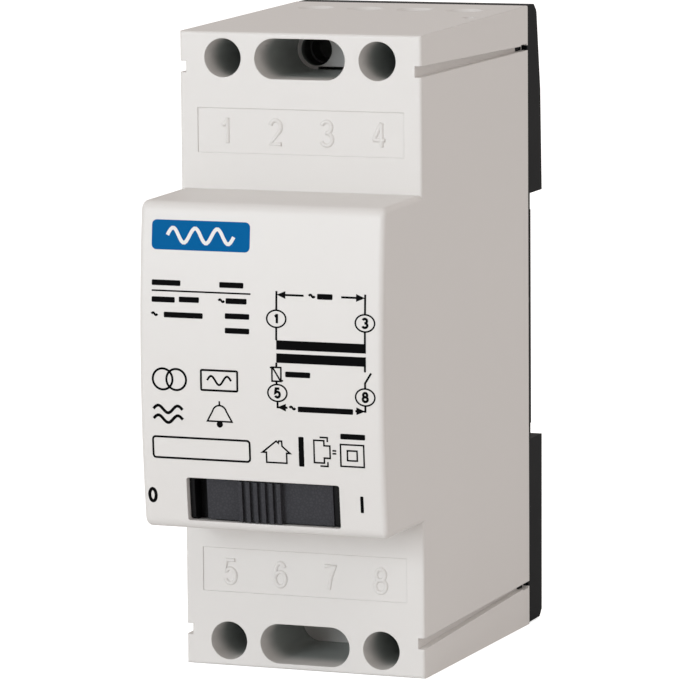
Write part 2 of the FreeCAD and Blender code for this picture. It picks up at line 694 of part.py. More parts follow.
def switch_frame():
    """Black switch body behind the window, with end ledges, slotted floor and contact chamber."""
    x_left = WINDOW_LEFT - TRAY_MARGIN
    x_right = WINDOW_RIGHT + TRAY_MARGIN
    z_low = -(NOSE_HALF - NOSE_END_WALL) + STOP_GAP
    z_high = WINDOW_HIGH + TRAY_MARGIN
    y_floor = nose_y(WINDOW_Z, 0) + TRAY_DEPTH
    y_back = y_floor + TRAY_FLOOR + TRAY_BODY_DEPTH
    body = crowned_prism(x_left, x_right, z_low, z_high, WALL, y_back)
    edge = STOP_GAP / 2
    post_low = WINDOW_LOW + WINDOW_ROUND - STOP_GAP
    post_high = WINDOW_HIGH - WINDOW_ROUND + STOP_GAP
    posts = [
        crowned_prism(WINDOW_LEFT + edge, WINDOW_LEFT + LEDGE_LEFT, post_low, post_high,
                      LEDGE_RECESS, y_floor),
        crowned_prism(WINDOW_RIGHT - LEDGE_RIGHT, WINDOW_RIGHT - edge, post_low, post_high,
                      LEDGE_RECESS, y_floor),
    ]
    tray = block(WINDOW_LEFT + LEDGE_LEFT, WINDOW_RIGHT - LEDGE_RIGHT, Y_NOSE_EDGE - NOSE_CROWN,
                 y_floor, z_low - MARGIN, WINDOW_HIGH)
    x_stem = (GRIP_LEFT + GRIP_RIGHT) / 2
    slot_half = STEM_WIDTH / 2 + STOP_GAP
    stem_slot = block(x_stem - slot_half - SLIDE_TRAVEL, x_stem + slot_half, y_floor - MARGIN,
                      y_floor + TRAY_FLOOR + MARGIN, WINDOW_Z - STEM_HEIGHT / 2 - RUN_GAP,
                      WINDOW_Z + STEM_HEIGHT / 2 + RUN_GAP)
    chamber = block(x_left + TRAY_WALL, x_right - TRAY_WALL, y_floor + TRAY_FLOOR, y_back + MARGIN,
                    z_low + TRAY_WALL, z_high - TRAY_WALL)
    return body.fuse(posts).cut([tray, stem_slot, chamber]).removeSplitter()


def switch_slider():
    """Sliding button: crowned plate with a ribbed grip, stem and contact carrier."""
    left = WINDOW_LEFT + LEDGE_LEFT + STOP_GAP + SLIDE_TRAVEL
    right = WINDOW_RIGHT - LEDGE_RIGHT - STOP_GAP
    low = WINDOW_LOW + PLATE_GAP
    high = WINDOW_HIGH - PLATE_GAP
    y_back = nose_y(low, PLATE_RECESS) + PLATE_THICK
    plate = crowned_prism(left, right, low, high, PLATE_RECESS, y_back)
    grip = crowned_prism(GRIP_LEFT, GRIP_RIGHT, low, high, PLATE_RECESS - GRIP_RISE, y_back)
    pitch = (GRIP_RIGHT - GRIP_LEFT) / (GRIP_RIBS - 0.5)
    groove_width = pitch / 2
    groove_front = Y_NOSE_EDGE - NOSE_CROWN - 2 * MARGIN
    grooves = []
    for index in range(GRIP_RIBS - 1):
        x = GRIP_LEFT + (index + 0.5) * pitch
        cutter = block(x, x + groove_width, groove_front, y_back, low - MARGIN, high + MARGIN)
        below = crowned_prism(x - MARGIN, x + groove_width + MARGIN, low - MARGIN, high + MARGIN,
                              PLATE_RECESS - GRIP_RISE + GRIP_GROOVE, y_back + MARGIN)
        grooves.append(cutter.cut(below))
    y_floor = nose_y(WINDOW_Z, 0) + TRAY_DEPTH
    y_carrier = y_floor + TRAY_FLOOR + RUN_GAP
    x_stem = (GRIP_LEFT + GRIP_RIGHT) / 2
    stem = block(x_stem - STEM_WIDTH / 2, x_stem + STEM_WIDTH / 2, y_back - PLATE_THICK / 2, y_carrier,
                 WINDOW_Z - STEM_HEIGHT / 2, WINDOW_Z + STEM_HEIGHT / 2)
    carrier = block(x_stem - CARRIER_WIDTH / 2, x_stem + CARRIER_WIDTH / 2,
                    y_carrier, y_carrier + CARRIER_THICK,
                    WINDOW_Z - CARRIER_HEIGHT / 2, WINDOW_Z + CARRIER_HEIGHT / 2)
    return plate.fuse([grip, stem, carrier]).cut(grooves).removeSplitter()


def bridge_y():
    """Front face of the moving contact strip, against the carrier."""
    return nose_y(WINDOW_Z, 0) + TRAY_DEPTH + TRAY_FLOOR + RUN_GAP + CARRIER_THICK


def bridge_pads():
    """Middles of the moving contact's two pads in the I position."""
    x_stem = (GRIP_LEFT + GRIP_RIGHT) / 2
    reach = CARRIER_WIDTH / 2 - BRIDGE_PAD_INSET - PAD_WIDTH / 2
    return x_stem - reach, x_stem + reach


def bridge_contact():
    """Moving contact strip with two raised pads, carried by the slider."""
    y = bridge_y()
    x_stem = (GRIP_LEFT + GRIP_RIGHT) / 2
    half = CARRIER_WIDTH / 2
    low = WINDOW_Z - STRIP_HEIGHT / 2
    strip = block(x_stem - half, x_stem + half, y, y + STRIP, low, low + STRIP_HEIGHT)
    pads = [round_y(x, WINDOW_Z, PAD_WIDTH / 2, y + STRIP, y + STRIP + PAD_RISE) for x in bridge_pads()]
    return strip.fuse(pads)


def chamber_side(side):
    """Inner side wall of the switch body's contact chamber."""
    edge = WINDOW_LEFT if side < 0 else WINDOW_RIGHT
    return edge + side * (TRAY_MARGIN - TRAY_WALL)


def fixed_contact(x_inner, side):
    """Fixed contact strip under one pad, with a tail that leaves the switch body."""
    y = bridge_y() + STRIP + PAD_RISE + CONTACT_GAP
    x_wall = chamber_side(side)
    low = WINDOW_Z - STRIP_HEIGHT / 2
    high = low + STRIP_HEIGHT
    strip = block(x_inner, x_wall, y, y + STRIP, low, high)
    tail = block(x_wall, x_wall - side * STRIP, y, y + TAIL_LENGTH, low, high)
    return strip.fuse(tail).removeSplitter()


def coil_contact():
    """Long contact that the moving strip never leaves."""
    return fixed_contact(bridge_pads()[0] + PAD_WIDTH / 2 + MARGIN, -1)


def line_contact():
    """Short contact that the moving strip leaves in the 0 position."""
    return fixed_contact(bridge_pads()[1] + PAD_WIDTH / 2 - SLIDE_TRAVEL + BREAK_GAP, 1)


def screw(x, z):
    """Captive terminal screw with a crossed drive slot."""
    body = round_y(x, z, SCREW_HEAD_R, Y_HEAD, Y_HEAD_BACK)
    body = body.fuse(round_y(x, z, SCREW_R, Y_HEAD_BACK, Y_BAR - TIP_GAP))
    half = DRIVE_SLOT / 2
    y_out = Y_HEAD - MARGIN
    y_floor = Y_HEAD + DRIVE_DEPTH
    long = block(x - SCREW_HEAD_R, x + SCREW_HEAD_R, y_out, y_floor, z - half, z + half)
    cross = block(x - half, x + half, y_out, y_floor, z - DRIVE_CROSS, z + DRIVE_CROSS)
    return body.cut([long, cross])


def cage(x, z):
    """Lift clamp: threaded yoke in front, side walls and wire floor behind."""
    outer = block(x - CAGE_HALF_WIDTH, x + CAGE_HALF_WIDTH, Y_YOKE, Y_CAGE_FLOOR + CAGE_FLOOR,
                  z - CAGE_HALF_HEIGHT, z + CAGE_HALF_HEIGHT)
    inner_half = CAGE_HALF_WIDTH - CAGE_SIDE
    space = block(x - inner_half, x + inner_half, Y_YOKE_BACK, Y_CAGE_FLOOR,
                  z - CAGE_HALF_HEIGHT - MARGIN, z + CAGE_HALF_HEIGHT + MARGIN)
    return outer.cut([space, round_y(x, z, SCREW_R + THREAD_GAP, Y_YOKE - MARGIN, Y_YOKE_BACK + MARGIN)])


def contact_bar(x, end):
    """Copper bar from the clamp through the partition to its solder tab."""
    z_outer = end * (ROW_Z + CAGE_HALF_HEIGHT)
    z_tab = end * (PARTITION_Z - BAR_TAB)
    return block(x - BAR_HALF_WIDTH, x + BAR_HALF_WIDTH, Y_BAR, Y_BAR_BACK, z_tab, z_outer)


def core_e():
    """Stack of E laminations with its yoke to the rear."""
    half = STACK / 2
    stack = block(-half, half, Y_WINDOW, Y_CORE_BACK, -CORE_HALF, CORE_HALF)
    windows = [block(-half - MARGIN, half + MARGIN, Y_WINDOW - MARGIN, Y_YOKE_CORE,
                     end * LIMB, end * 2 * LIMB) for end in (-1, 1)]
    return stack.cut(windows + core_holes(Y_CORE_BACK - LIMB / 2))


def core_i():
    """Stack of I laminations that closes the core in front."""
    half = STACK / 2
    stack = block(-half, half, Y_CORE, Y_WINDOW, -CORE_HALF, CORE_HALF)
    return stack.cut(core_holes(Y_CORE + LIMB / 2))


def core_holes(y):
    """Rivet holes through the two ends of a yoke."""
    x = -STACK / 2 - MARGIN
    z = CORE_HALF - LIMB / 2
    return [Part.makeCylinder(CORE_HOLE_R, STACK + 2 * MARGIN, Vector(x, y, end * z), Vector(1, 0, 0))
            for end in (-1, 1)]


def ring_y(outer_x, outer_z, inner_x, inner_z, y0, y1, rounding):
    """Rectangular ring round the centre limb."""
    ring = block(-outer_x, outer_x, y0, y1, -outer_z, outer_z)
    if rounding > 0:
        ring = ring.makeFillet(rounding, edges_where(
            ring, lambda p: near(abs(p.x), outer_x) and near(abs(p.z), outer_z)))
    return ring.cut(block(-inner_x, inner_x, y0 - MARGIN, y1 + MARGIN, -inner_z, inner_z))


def coil_sizes():
    """Half widths of the former's tube, of its flanges and of the windings, in x and z."""
    tube_x = STACK / 2 + FORMER_GAP + FORMER_WALL
    tube_z = LIMB + FORMER_GAP + FORMER_WALL
    flange_x = INNER_HALF - COIL_SIDE_GAP
    flange_z = 2 * LIMB - FORMER_GAP
    return tube_x, tube_z, flange_x, flange_z


def bobbin():
    """Winding former: tube with two end flanges and a middle flange."""
    tube_x, tube_z, flange_x, flange_z = coil_sizes()
    y0 = Y_WINDOW + FLANGE_GAP
    y1 = Y_YOKE_CORE - FLANGE_GAP
    bore_x = tube_x - FORMER_WALL
    bore_z = tube_z - FORMER_WALL
    middle = (y0 + y1) / 2
    former = ring_y(tube_x, tube_z, bore_x, bore_z, y0, y1, 0)
    flanges = [ring_y(flange_x, flange_z, bore_x, bore_z, y, y + FLANGE, 0)
               for y in (y0, middle - FLANGE / 2, y1 - FLANGE)]
    return former.fuse(flanges).removeSplitter()


def coil_span(chamber):
    """First and last depth of a winding chamber; 0 is in front and 1 behind."""
    y0 = Y_WINDOW + FLANGE_GAP + FLANGE
    y1 = Y_YOKE_CORE - FLANGE_GAP - FLANGE
    middle = (y0 + y1) / 2
    return (y0, middle - FLANGE / 2) if chamber == 0 else (middle + FLANGE / 2, y1)


def winding(chamber):
    """Copper winding in one chamber of the former."""
    tube_x, tube_z, flange_x, flange_z = coil_sizes()
    y0, y1 = coil_span(chamber)
    return ring_y(flange_x - COIL_INSET, flange_z - COIL_INSET, tube_x, tube_z, y0, y1, COIL_ROUND)


def tape(chamber):
    """Insulating tape round one winding."""
    _, _, flange_x, flange_z = coil_sizes()
    y0, y1 = coil_span(chamber)
    outer = ring_y(flange_x - COIL_INSET + TAPE, flange_z - COIL_INSET + TAPE, LIMB, LIMB,
                   y0, y1, COIL_ROUND + TAPE)
    core = block(-(flange_x - COIL_INSET), flange_x - COIL_INSET, y0, y1,
                 -(flange_z - COIL_INSET), flange_z - COIL_INSET)
    core = core.makeFillet(COIL_ROUND, edges_where(
        core, lambda p: near(abs(p.x), flange_x - COIL_INSET) and near(abs(p.z), flange_z - COIL_INSET)))
    return outer.cut(core)


def ptc_disc():
    """Thermistor disc beside the primary terminal."""
    side = Vector(TERMINALS["5"][0] - DISC_THICK / 2, DISC_Y, DISC_Z)
    disc = Part.makeCylinder(DISC_R, DISC_THICK, side, Vector(1, 0, 0))
    return disc.makeChamfer(DISC_CHAMFER, disc.Edges[:1] + disc.Edges[2:3])


def ptc_leads():
    """Two wire legs from the thermistor: one to its bar and one to the primary lead."""
    x = TERMINALS["5"][0]
    z_root = DISC_Z - math.sqrt(DISC_R ** 2 - (LEAD_SPAN - LEAD_R) ** 2)
    z_bar = -PARTITION_Z + BAR_TAB / 2
    rear = bent_rod([
        Vector(x, DISC_Y + LEAD_SPAN, z_root), Vector(x, DISC_Y + LEAD_SPAN, z_bar),
        Vector(x, Y_BAR, z_bar),
    ], LEAD_R, LEAD_BEND)
    front = bent_rod([
        Vector(x, DISC_Y - LEAD_SPAN, z_root), Vector(x, DISC_Y - LEAD_SPAN, z_bar),
        Vector(x + PITCH / 2, DISC_Y - LEAD_SPAN, z_bar),
    ], LEAD_R, LEAD_BEND)
    return Part.makeCompound([rear, front])


def coil_lead_start(side, end, chamber):
    """Point on a winding where a lead comes away beside the core."""
    _, _, flange_x, flange_z = coil_sizes()
    y0, y1 = coil_span(chamber)
    x = side * (STACK / 2 + flange_x) / 2
    return Vector(x, (y0 + y1) / 2, end * (flange_z - COIL_INSET + TAPE))


def cable(points):
    """Insulated inner wire along a bent path."""
    return bent_rod(points, CABLE_R, CABLE_BEND)


def bar_joint(name):
    """Point just in front of a bar's solder tab."""
    x, end = TERMINALS[name]
    return Vector(x, Y_BAR - CABLE_R, end * (PARTITION_Z - BAR_TAB / 2))


def secondary_cable(name, side):
    """Wire from the secondary winding to its contact bar."""
    start = coil_lead_start(side, 1, 1)
    end = bar_joint(name)
    clear = CORE_HALF + 2 * CABLE_R
    return cable([
        start, Vector(start.x, start.y, clear), Vector(end.x, end.y, clear + CABLE_BEND), end,
    ])


def primary_cable():
    """Wire from the thermistor's front leg to the primary winding."""
    start = coil_lead_start(-1, -1, 0)
    x = TERMINALS["5"][0] + PITCH / 2
    leg = Vector(x + CABLE_R, DISC_Y - LEAD_SPAN, -PARTITION_Z + BAR_TAB / 2)
    z_turn = -CORE_HALF - 1.5 * CABLE_BEND
    return cable([
        start, Vector(start.x, start.y, -CORE_HALF), Vector(leg.x, leg.y, z_turn), leg,
    ])


def contact_tail(side):
    """Point beside the tail of a fixed switch contact."""
    y = bridge_y() + STRIP + PAD_RISE + CONTACT_GAP + TAIL_LENGTH
    return Vector(chamber_side(side) - side * STRIP / 2, y, WINDOW_Z)


def switched_cable():
    """Wire from the long switch contact to the primary winding."""
    start = contact_tail(-1)
    end = coil_lead_start(-1, -1, 0)
    _, _, _, flange_z = coil_sizes()
    z = -flange_z - 2 * CABLE_R
    end.y -= 2 * MARGIN
    return cable([start, Vector(start.x, Y_CORE, WINDOW_Z), Vector(end.x, end.y - 2 * CABLE_BEND, z),
                  Vector(end.x, end.y, z + CABLE_R)])


def line_cable():
    """Wire from the mains bar past the core to the short switch contact."""
    start = contact_tail(1)
    end = bar_joint("8")
    return cable([
        start, Vector(start.x, Y_CORE, WINDOW_Z), Vector(STACK / 2 + CORE_CLEAR, Y_WINDOW, -CORE_HALF),
        Vector(end.x, end.y, -PARTITION_Z + BAR_TAB + 2 * CABLE_BEND), end,
    ])


def build():
    """All pieces by name."""
    pieces = {
        "housing": housing(),
        "base_plate": base_plate(),
        "rail_latch": rail_latch(),
        "latch_spring": latch_spring(),
        "switch_frame": switch_frame(),
        "switch_slider": switch_slider(),
        "bridge_contact": bridge_contact(),
        "coil_contact": coil_contact(),
        "line_contact": line_contact(),
        "core_e": core_e(),
        "core_i": core_i(),
        "bobbin": bobbin(),
        "primary_winding": winding(0),
        "secondary_winding": winding(1),
        "primary_tape": tape(0),
        "secondary_tape": tape(1),
        "ptc_disc": ptc_disc(),
        "ptc_leads": ptc_leads(),
        "cable_1": secondary_cable("1", -1),
        "cable_3": secondary_cable("3", 1),
        "cable_5": primary_cable(),
        "cable_8": line_cable(),
        "cable_switch": switched_cable(),
    }
    for name, (x, end) in TERMINALS.items():
        pieces["screw_" + name] = screw(x, end * ROW_Z)
        pieces["cage_" + name] = cage(x, end * ROW_Z)
        pieces["bar_" + name] = contact_bar(x, end)
    return pieces


os.makedirs("parts", exist_ok=True)
for piece_name, piece in build().items():
    piece.exportStep("parts/" + piece_name + ".step")
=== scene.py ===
import json
import math

import bmesh
import bpy
from mathutils import Matrix, Vector


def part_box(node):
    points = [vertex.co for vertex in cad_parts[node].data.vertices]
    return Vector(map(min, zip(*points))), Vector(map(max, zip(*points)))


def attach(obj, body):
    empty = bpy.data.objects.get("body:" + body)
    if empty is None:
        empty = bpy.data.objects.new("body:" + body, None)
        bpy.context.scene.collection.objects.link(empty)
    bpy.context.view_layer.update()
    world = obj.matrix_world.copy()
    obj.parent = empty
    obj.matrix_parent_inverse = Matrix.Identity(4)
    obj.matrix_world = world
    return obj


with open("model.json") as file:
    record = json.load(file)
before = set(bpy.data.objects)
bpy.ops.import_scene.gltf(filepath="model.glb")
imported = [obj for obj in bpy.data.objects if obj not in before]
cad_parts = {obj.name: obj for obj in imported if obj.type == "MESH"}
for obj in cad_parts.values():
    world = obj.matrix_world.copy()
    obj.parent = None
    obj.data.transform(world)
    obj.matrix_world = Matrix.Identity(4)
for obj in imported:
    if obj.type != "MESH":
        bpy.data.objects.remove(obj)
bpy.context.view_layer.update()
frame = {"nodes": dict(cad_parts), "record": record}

# Lengths are in metres, or in millimetres where a comment says so
MM = 0.001

# The photograph's camera, worked out from the corners of the case. The focal length was then made 0.36 %
# longer, which brings the edges closer to the photograph's. The sensor is in millimetres
IMAGE_PIXELS = 680
FOCAL_PIXELS = 4919.0
CAMERA_TURN = math.radians(20.767)
CAMERA_RISE = math.radians(8.072)
CAMERA_ROLL = math.radians(-0.483)
CAMERA_RIGHT = 5.229 * MM
CAMERA_UP = 2.076 * MM
CAMERA_AWAY = 679.52 * MM
RAIL_TO_SHOULDER = 46.9 * MM
SENSOR = 36.0
CLIP_NEAR = 0.05
CLIP_FAR = 40

# The crowned front of the nose, which the print follows
NOSE_HALF = 22.5 * MM
NOSE_CROWN = 1.35 * MM
NOSE_RADIUS = (NOSE_HALF ** 2 + NOSE_CROWN ** 2) / (2 * NOSE_CROWN)
CROWN_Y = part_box("housing")[0].y
SHOULDER_Y = -RAIL_TO_SHOULDER
PANEL_DEPTH = 0.1 * MM
INK_PROUD = 0.03 * MM
INK_SUNK = 0.03 * MM
STEP_ON_CROWN = 2.0 * MM

# Widths of the printed lines in millimetres, and facets of round forms
THIN_LINE = 0.22
LEAD_LINE = 0.28
SYMBOL_LINE = 0.3
DIGIT_LINE = 0.34
WIDE_WAVE_LINE = 0.4
OFF_LINE = 0.45
FIELD_WAVE_LINE = 0.5
CIRCLE_SIDES = 40
DIGIT_SIDES = 28
CLAPPER_SIDES = 24
FIELD_SIDES = 20
LABEL_SIDES = 16
WAVE_SIDES = 14
CORNER_SIDES = 12
FULL_TURN = 360

# Wells and slots of the case get painted shade: depths in millimetres with the painted shade of their walls,
# the depth at which the painted shade ends, the depth from which floors get painted shade too, and half the
# width and height that hold them all
PAINTED_SHADES = (
    (2.0, (1, 1, 1, 1)),
    (6.5, (0.56, 0.61, 0.61, 1)),
    (15.5, (0.66, 0.71, 0.71, 1)),
    (18.0, (0.08, 0.08, 0.08, 1)),
)
PAINTED_SHADE_DEEPEST = 20.0
PAINTED_SHADE_FLOORS_FROM = 17.2
PAINTED_SHADE_HALF_WIDTH = 16.2 * MM
PAINTED_SHADE_HALF_HEIGHT = 44.1 * MM

# Noise of the surfaces: its detail, the scales that no finish changes, how steeply a pebble rises from its
# crease, and the share of fine grain on it
PATCH_DETAIL = 4
STREAK_DETAIL = 3
GRAIN_DETAIL = 2
SPOT_SCALE = 900
TURN_SCALE = 700
PEBBLE_SCALE = 5000
CREASE_STEEPNESS = 4.0
PEBBLE_GRAIN = 0.3

# What the finishes of one kind share; reliefs and edges are in millimetres
EDGE_SAMPLES = 6
PLASTIC_SPREAD = 0.12
METAL_SPREAD = 0.25
METAL_RELIEF = 0.01
METAL_EDGE = 0.06
WIRE_GRAIN = 1500
INK_GRAIN = 4000
INK_RELIEF = 0.002
WIRE_PITCH = 0.32 * MM
TAPE_PITCH = 0.22 * MM
SHEET_THICKNESS = 0.5 * MM

# The bottom of the case rises by its draft from the back to the shoulder, both in millimetres, and the floor
# lies along it
END_DRAFT = 0.9
END_LENGTH = 45.4
FLOOR_TILT = math.atan2(END_DRAFT, END_LENGTH)
FLOOR_HALF = 6.0
FLOOR_MIDDLE_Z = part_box("housing")[0].z + END_DRAFT / 2 * MM

# The floor and the world: both look white to the camera, and the object is lit by less
WHITE = (1, 1, 1, 1)
FLOOR_COLOUR = (0.9, 0.9, 0.9, 1)
FLOOR_PATCHINESS = 0.01
FLOOR_ROUGHNESS = 0.7
FLOOR_GLOW = 0.75
WORLD_LIGHT = 0.585
WORLD_COLOUR = (1, 0.938, 0.905, 1)

# Soft lamps: turn from the front towards +X, rise above the level, size, watts and colour
LAMP_AWAY = 1.4
LAMPS = {
    "key": (-20, 12, 0.5, 7.6, (0.88, 0.955, 1)),
    "fill": (45, 40, 0.6, 1.5, (0.98, 0.98, 0.97)),
    "back": (158, 22, 0.8, 1.0, (1, 0.97, 0.95)),
}


def nose_y(z):
    """Depth of the nose's front face at a height."""
    return CROWN_Y + NOSE_RADIUS - math.sqrt(NOSE_RADIUS ** 2 - z * z)


def socket(group, name, kind, direction, value=None):
    """Named input or output of a node group."""
    made = group.interface.new_socket(name=name, in_out=direction, socket_type=kind)
    if value is not None:
        made.default_value = value


def new_group(name, inputs, outputs):
    """Empty node group with its sockets, and its input and output nodes."""
    group = bpy.data.node_groups.new(name, "ShaderNodeTree")
    for label, kind, value in inputs:
        socket(group, label, kind, "INPUT", value)
    for label, kind in outputs:
        socket(group, label, kind, "OUTPUT")
    return group, group.nodes.new("NodeGroupInput"), group.nodes.new("NodeGroupOutput")


def math_node(tree, operation, first, second):
    """Math node on two sockets or numbers; gives its output."""
    node = tree.nodes.new("ShaderNodeMath")
    node.operation = operation
    for place, value in zip(node.inputs, (first, second)):
        if isinstance(value, (int, float)):
            place.default_value = value
        else:
            tree.links.new(value, place)
    return node.outputs[0]


def noise(tree, vector, scale, detail):
    """Noise texture from a vector; gives its factor."""
    node = tree.nodes.new("ShaderNodeTexNoise")
    node.inputs["Detail"].default_value = detail
    tree.links.new(vector, node.inputs["Vector"])
    if isinstance(scale, (int, float)):
        node.inputs["Scale"].default_value = scale
    else:
        tree.links.new(scale, node.inputs["Scale"])
    return node.outputs["Fac"]


def multiplied(tree, colour, other, amount):
    """Colour multiplied by another to an amount; gives the colour."""
    node = tree.nodes.new("ShaderNodeMix")
    node.data_type = "RGBA"
    node.blend_type = "MULTIPLY"
    tree.links.new(amount, node.inputs["Factor"])
    tree.links.new(colour, node.inputs["A"])
    tree.links.new(other, node.inputs["B"])
    return node.outputs["Result"]


def shaded_colour(tree, colour, shade, amount):
    """Colour made darker by a factor; gives the colour."""
    grey = tree.nodes.new("ShaderNodeCombineColor")
    for channel in grey.inputs:
        tree.links.new(shade, channel)
    return multiplied(tree, colour, grey.outputs["Color"], amount)


def spread_value(tree, middle, spread, factor):
    """Value that swings about its middle with a factor from 0 to 1."""
    swing = math_node(tree, "SUBTRACT", factor, 0.5)
    return math_node(tree, "ADD", middle, math_node(tree, "MULTIPLY", swing, spread))


def object_place(tree):
    """Place on the object, in metres."""
    return tree.nodes.new("ShaderNodeTexCoord").outputs["Object"]


SURFACE_OUTPUTS = [
    ("Colour", "NodeSocketColor"), ("Roughness", "NodeSocketFloat"), ("Height", "NodeSocketFloat"),
]


def put_out(group, given, out, shade, amount, uneven, height):
    """Results of a surface: colour made darker by a shade, roughness made uneven, and height."""
    colour = shaded_colour(group, given.outputs["Colour"], shade, given.outputs[amount])
    roughness = spread_value(group, given.outputs["Roughness"], given.outputs["Spread"], uneven)
    group.links.new(colour, out.inputs["Colour"])
    group.links.new(roughness, out.inputs["Roughness"])
    group.links.new(height, out.inputs["Height"])
    return group


def moulded_skin():
    """Spark-eroded plastic: soft patches of colour and a very fine grain."""
    group, given, out = new_group("moulded_skin", [
        ("Colour", "NodeSocketColor", (0.8, 0.8, 0.8, 1)), ("Patchiness", "NodeSocketFloat", 0.1),
        ("Patch Scale", "NodeSocketFloat", 60), ("Grain Scale", "NodeSocketFloat", 2500),
        ("Roughness", "NodeSocketFloat", 0.5), ("Spread", "NodeSocketFloat", 0.15),
    ], SURFACE_OUTPUTS)
    place = object_place(group)
    patches = noise(group, place, given.outputs["Patch Scale"], PATCH_DETAIL)
    grain = noise(group, place, given.outputs["Grain Scale"], GRAIN_DETAIL)
    return put_out(group, given, out, patches, "Patchiness", patches, grain)


def drawn_metal():
    """Plated or rolled metal: streaks along one direction and small spots."""
    group, given, out = new_group("drawn_metal", [
        ("Colour", "NodeSocketColor", (0.6, 0.6, 0.6, 1)), ("Stretch", "NodeSocketVector", (1, 1, 1)),
        ("Streaks", "NodeSocketFloat", 0.3), ("Roughness", "NodeSocketFloat", 0.3),
        ("Spread", "NodeSocketFloat", 0.2),
    ], SURFACE_OUTPUTS)
    place = object_place(group)
    stretched = group.nodes.new("ShaderNodeVectorMath")
    stretched.operation = "MULTIPLY"
    group.links.new(place, stretched.inputs[0])
    group.links.new(given.outputs["Stretch"], stretched.inputs[1])
    streaks = noise(group, stretched.outputs["Vector"], 1, STREAK_DETAIL)
    spots = noise(group, place, SPOT_SCALE, GRAIN_DETAIL)
    both = math_node(group, "MULTIPLY", math_node(group, "ADD", streaks, spots), 0.5)
    return put_out(group, given, out, both, "Streaks", both, streaks)


def banded():
    """Bands side by side, such as turns of wire or the edges of stacked sheets."""
    group, given, out = new_group("banded", [
        ("Colour", "NodeSocketColor", (0.6, 0.6, 0.6, 1)), ("Across", "NodeSocketVector", (0, 1, 0)),
        ("Gap Shade", "NodeSocketFloat", 0.5), ("Roughness", "NodeSocketFloat", 0.35),
        ("Spread", "NodeSocketFloat", 0.2),
    ], SURFACE_OUTPUTS)
    place = object_place(group)
    along = group.nodes.new("ShaderNodeVectorMath")
    along.operation = "DOT_PRODUCT"
    group.links.new(place, along.inputs[0])
    group.links.new(given.outputs["Across"], along.inputs[1])
    phase = math_node(group, "FRACT", along.outputs["Value"], 0)
    round_top = math_node(group, "SINE", math_node(group, "MULTIPLY", phase, math.pi), 0)
    uneven = noise(group, place, TURN_SCALE, GRAIN_DETAIL)
    swing = spread_value(group, 1.0, given.outputs["Spread"], uneven)
    shade = math_node(group, "MULTIPLY", round_top, swing)
    return put_out(group, given, out, shade, "Gap Shade", uneven, round_top)


def pebbled():
    """Leather-like grain of small raised cells."""
    group, given, out = new_group("pebbled", [
        ("Colour", "NodeSocketColor", (0.1, 0.1, 0.1, 1)), ("Cell Scale", "NodeSocketFloat", 2200),
        ("Crease Shade", "NodeSocketFloat", 0.3), ("Roughness", "NodeSocketFloat", 0.5),
        ("Spread", "NodeSocketFloat", 0.2),
    ], SURFACE_OUTPUTS)
    place = object_place(group)
    cells = group.nodes.new("ShaderNodeTexVoronoi")
    cells.feature = "DISTANCE_TO_EDGE"
    group.links.new(place, cells.inputs["Vector"])
    group.links.new(given.outputs["Cell Scale"], cells.inputs["Scale"])
    rise = math_node(group, "MULTIPLY", cells.outputs["Distance"], CREASE_STEEPNESS)
    tops = math_node(group, "MINIMUM", rise, 1.0)
    fine = noise(group, place, PEBBLE_SCALE, GRAIN_DETAIL)
    height = math_node(group, "ADD", tops, math_node(group, "MULTIPLY", fine, PEBBLE_GRAIN))
    return put_out(group, given, out, tops, "Crease Shade", fine, height)


def painted_cavity_shade():
    """Painted shade: darker, cooler colour on the walls of the wells and slots of the case, by their depth.
    """
    group, given, out = new_group("painted_cavity_shade", [("Colour", "NodeSocketColor", (0.8, 0.8, 0.8, 1))],
                                  [("Colour", "NodeSocketColor")])
    coordinates = group.nodes.new("ShaderNodeTexCoord")
    place = group.nodes.new("ShaderNodeSeparateXYZ")
    group.links.new(coordinates.outputs["Object"], place.inputs[0])
    facing = group.nodes.new("ShaderNodeSeparateXYZ")
    group.links.new(coordinates.outputs["Normal"], facing.inputs[0])
    depth = group.nodes.new("ShaderNodeMapRange")
    depth.inputs["From Min"].default_value = SHOULDER_Y
    depth.inputs["From Max"].default_value = SHOULDER_Y + PAINTED_SHADE_DEEPEST * MM
    group.links.new(place.outputs["Y"], depth.inputs["Value"])
    painted_shades = group.nodes.new("ShaderNodeValToRGB")
    painted_shades.color_ramp.interpolation = "EASE"
    stops = painted_shades.color_ramp.elements
    while len(stops) < len(PAINTED_SHADES):
        stops.new(1)
    for stop, (at, shade) in zip(stops, PAINTED_SHADES):
        stop.position = at / PAINTED_SHADE_DEEPEST
        stop.color = shade
    group.links.new(depth.outputs["Result"], painted_shades.inputs["Fac"])
    shallow = math_node(group, "LESS_THAN", depth.outputs["Result"], PAINTED_SHADE_FLOORS_FROM / PAINTED_SHADE_DEEPEST)
    floors = math_node(group, "MULTIPLY", math_node(group, "ABSOLUTE", facing.outputs["Y"], 0), shallow)
    amount = math_node(group, "SUBTRACT", 1, floors)
    for axis, limit in (("X", PAINTED_SHADE_HALF_WIDTH), ("Z", PAINTED_SHADE_HALF_HEIGHT)):
        inside = math_node(group, "LESS_THAN", math_node(group, "ABSOLUTE", place.outputs[axis], 0), limit)
        amount = math_node(group, "MULTIPLY", amount, inside)
    walls = multiplied(group, given.outputs["Colour"], painted_shades.outputs["Color"], amount)
    group.links.new(walls, out.inputs["Colour"])
    return group


def linear(colour):
    """Colour of a screen, 0 to 255, as the light it stands for, by the standard screen curve."""
    shares = [value / 255 for value in colour]
    return [s / 12.92 if s <= 0.04045 else ((s + 0.055) / 1.055) ** 2.4 for s in shares]


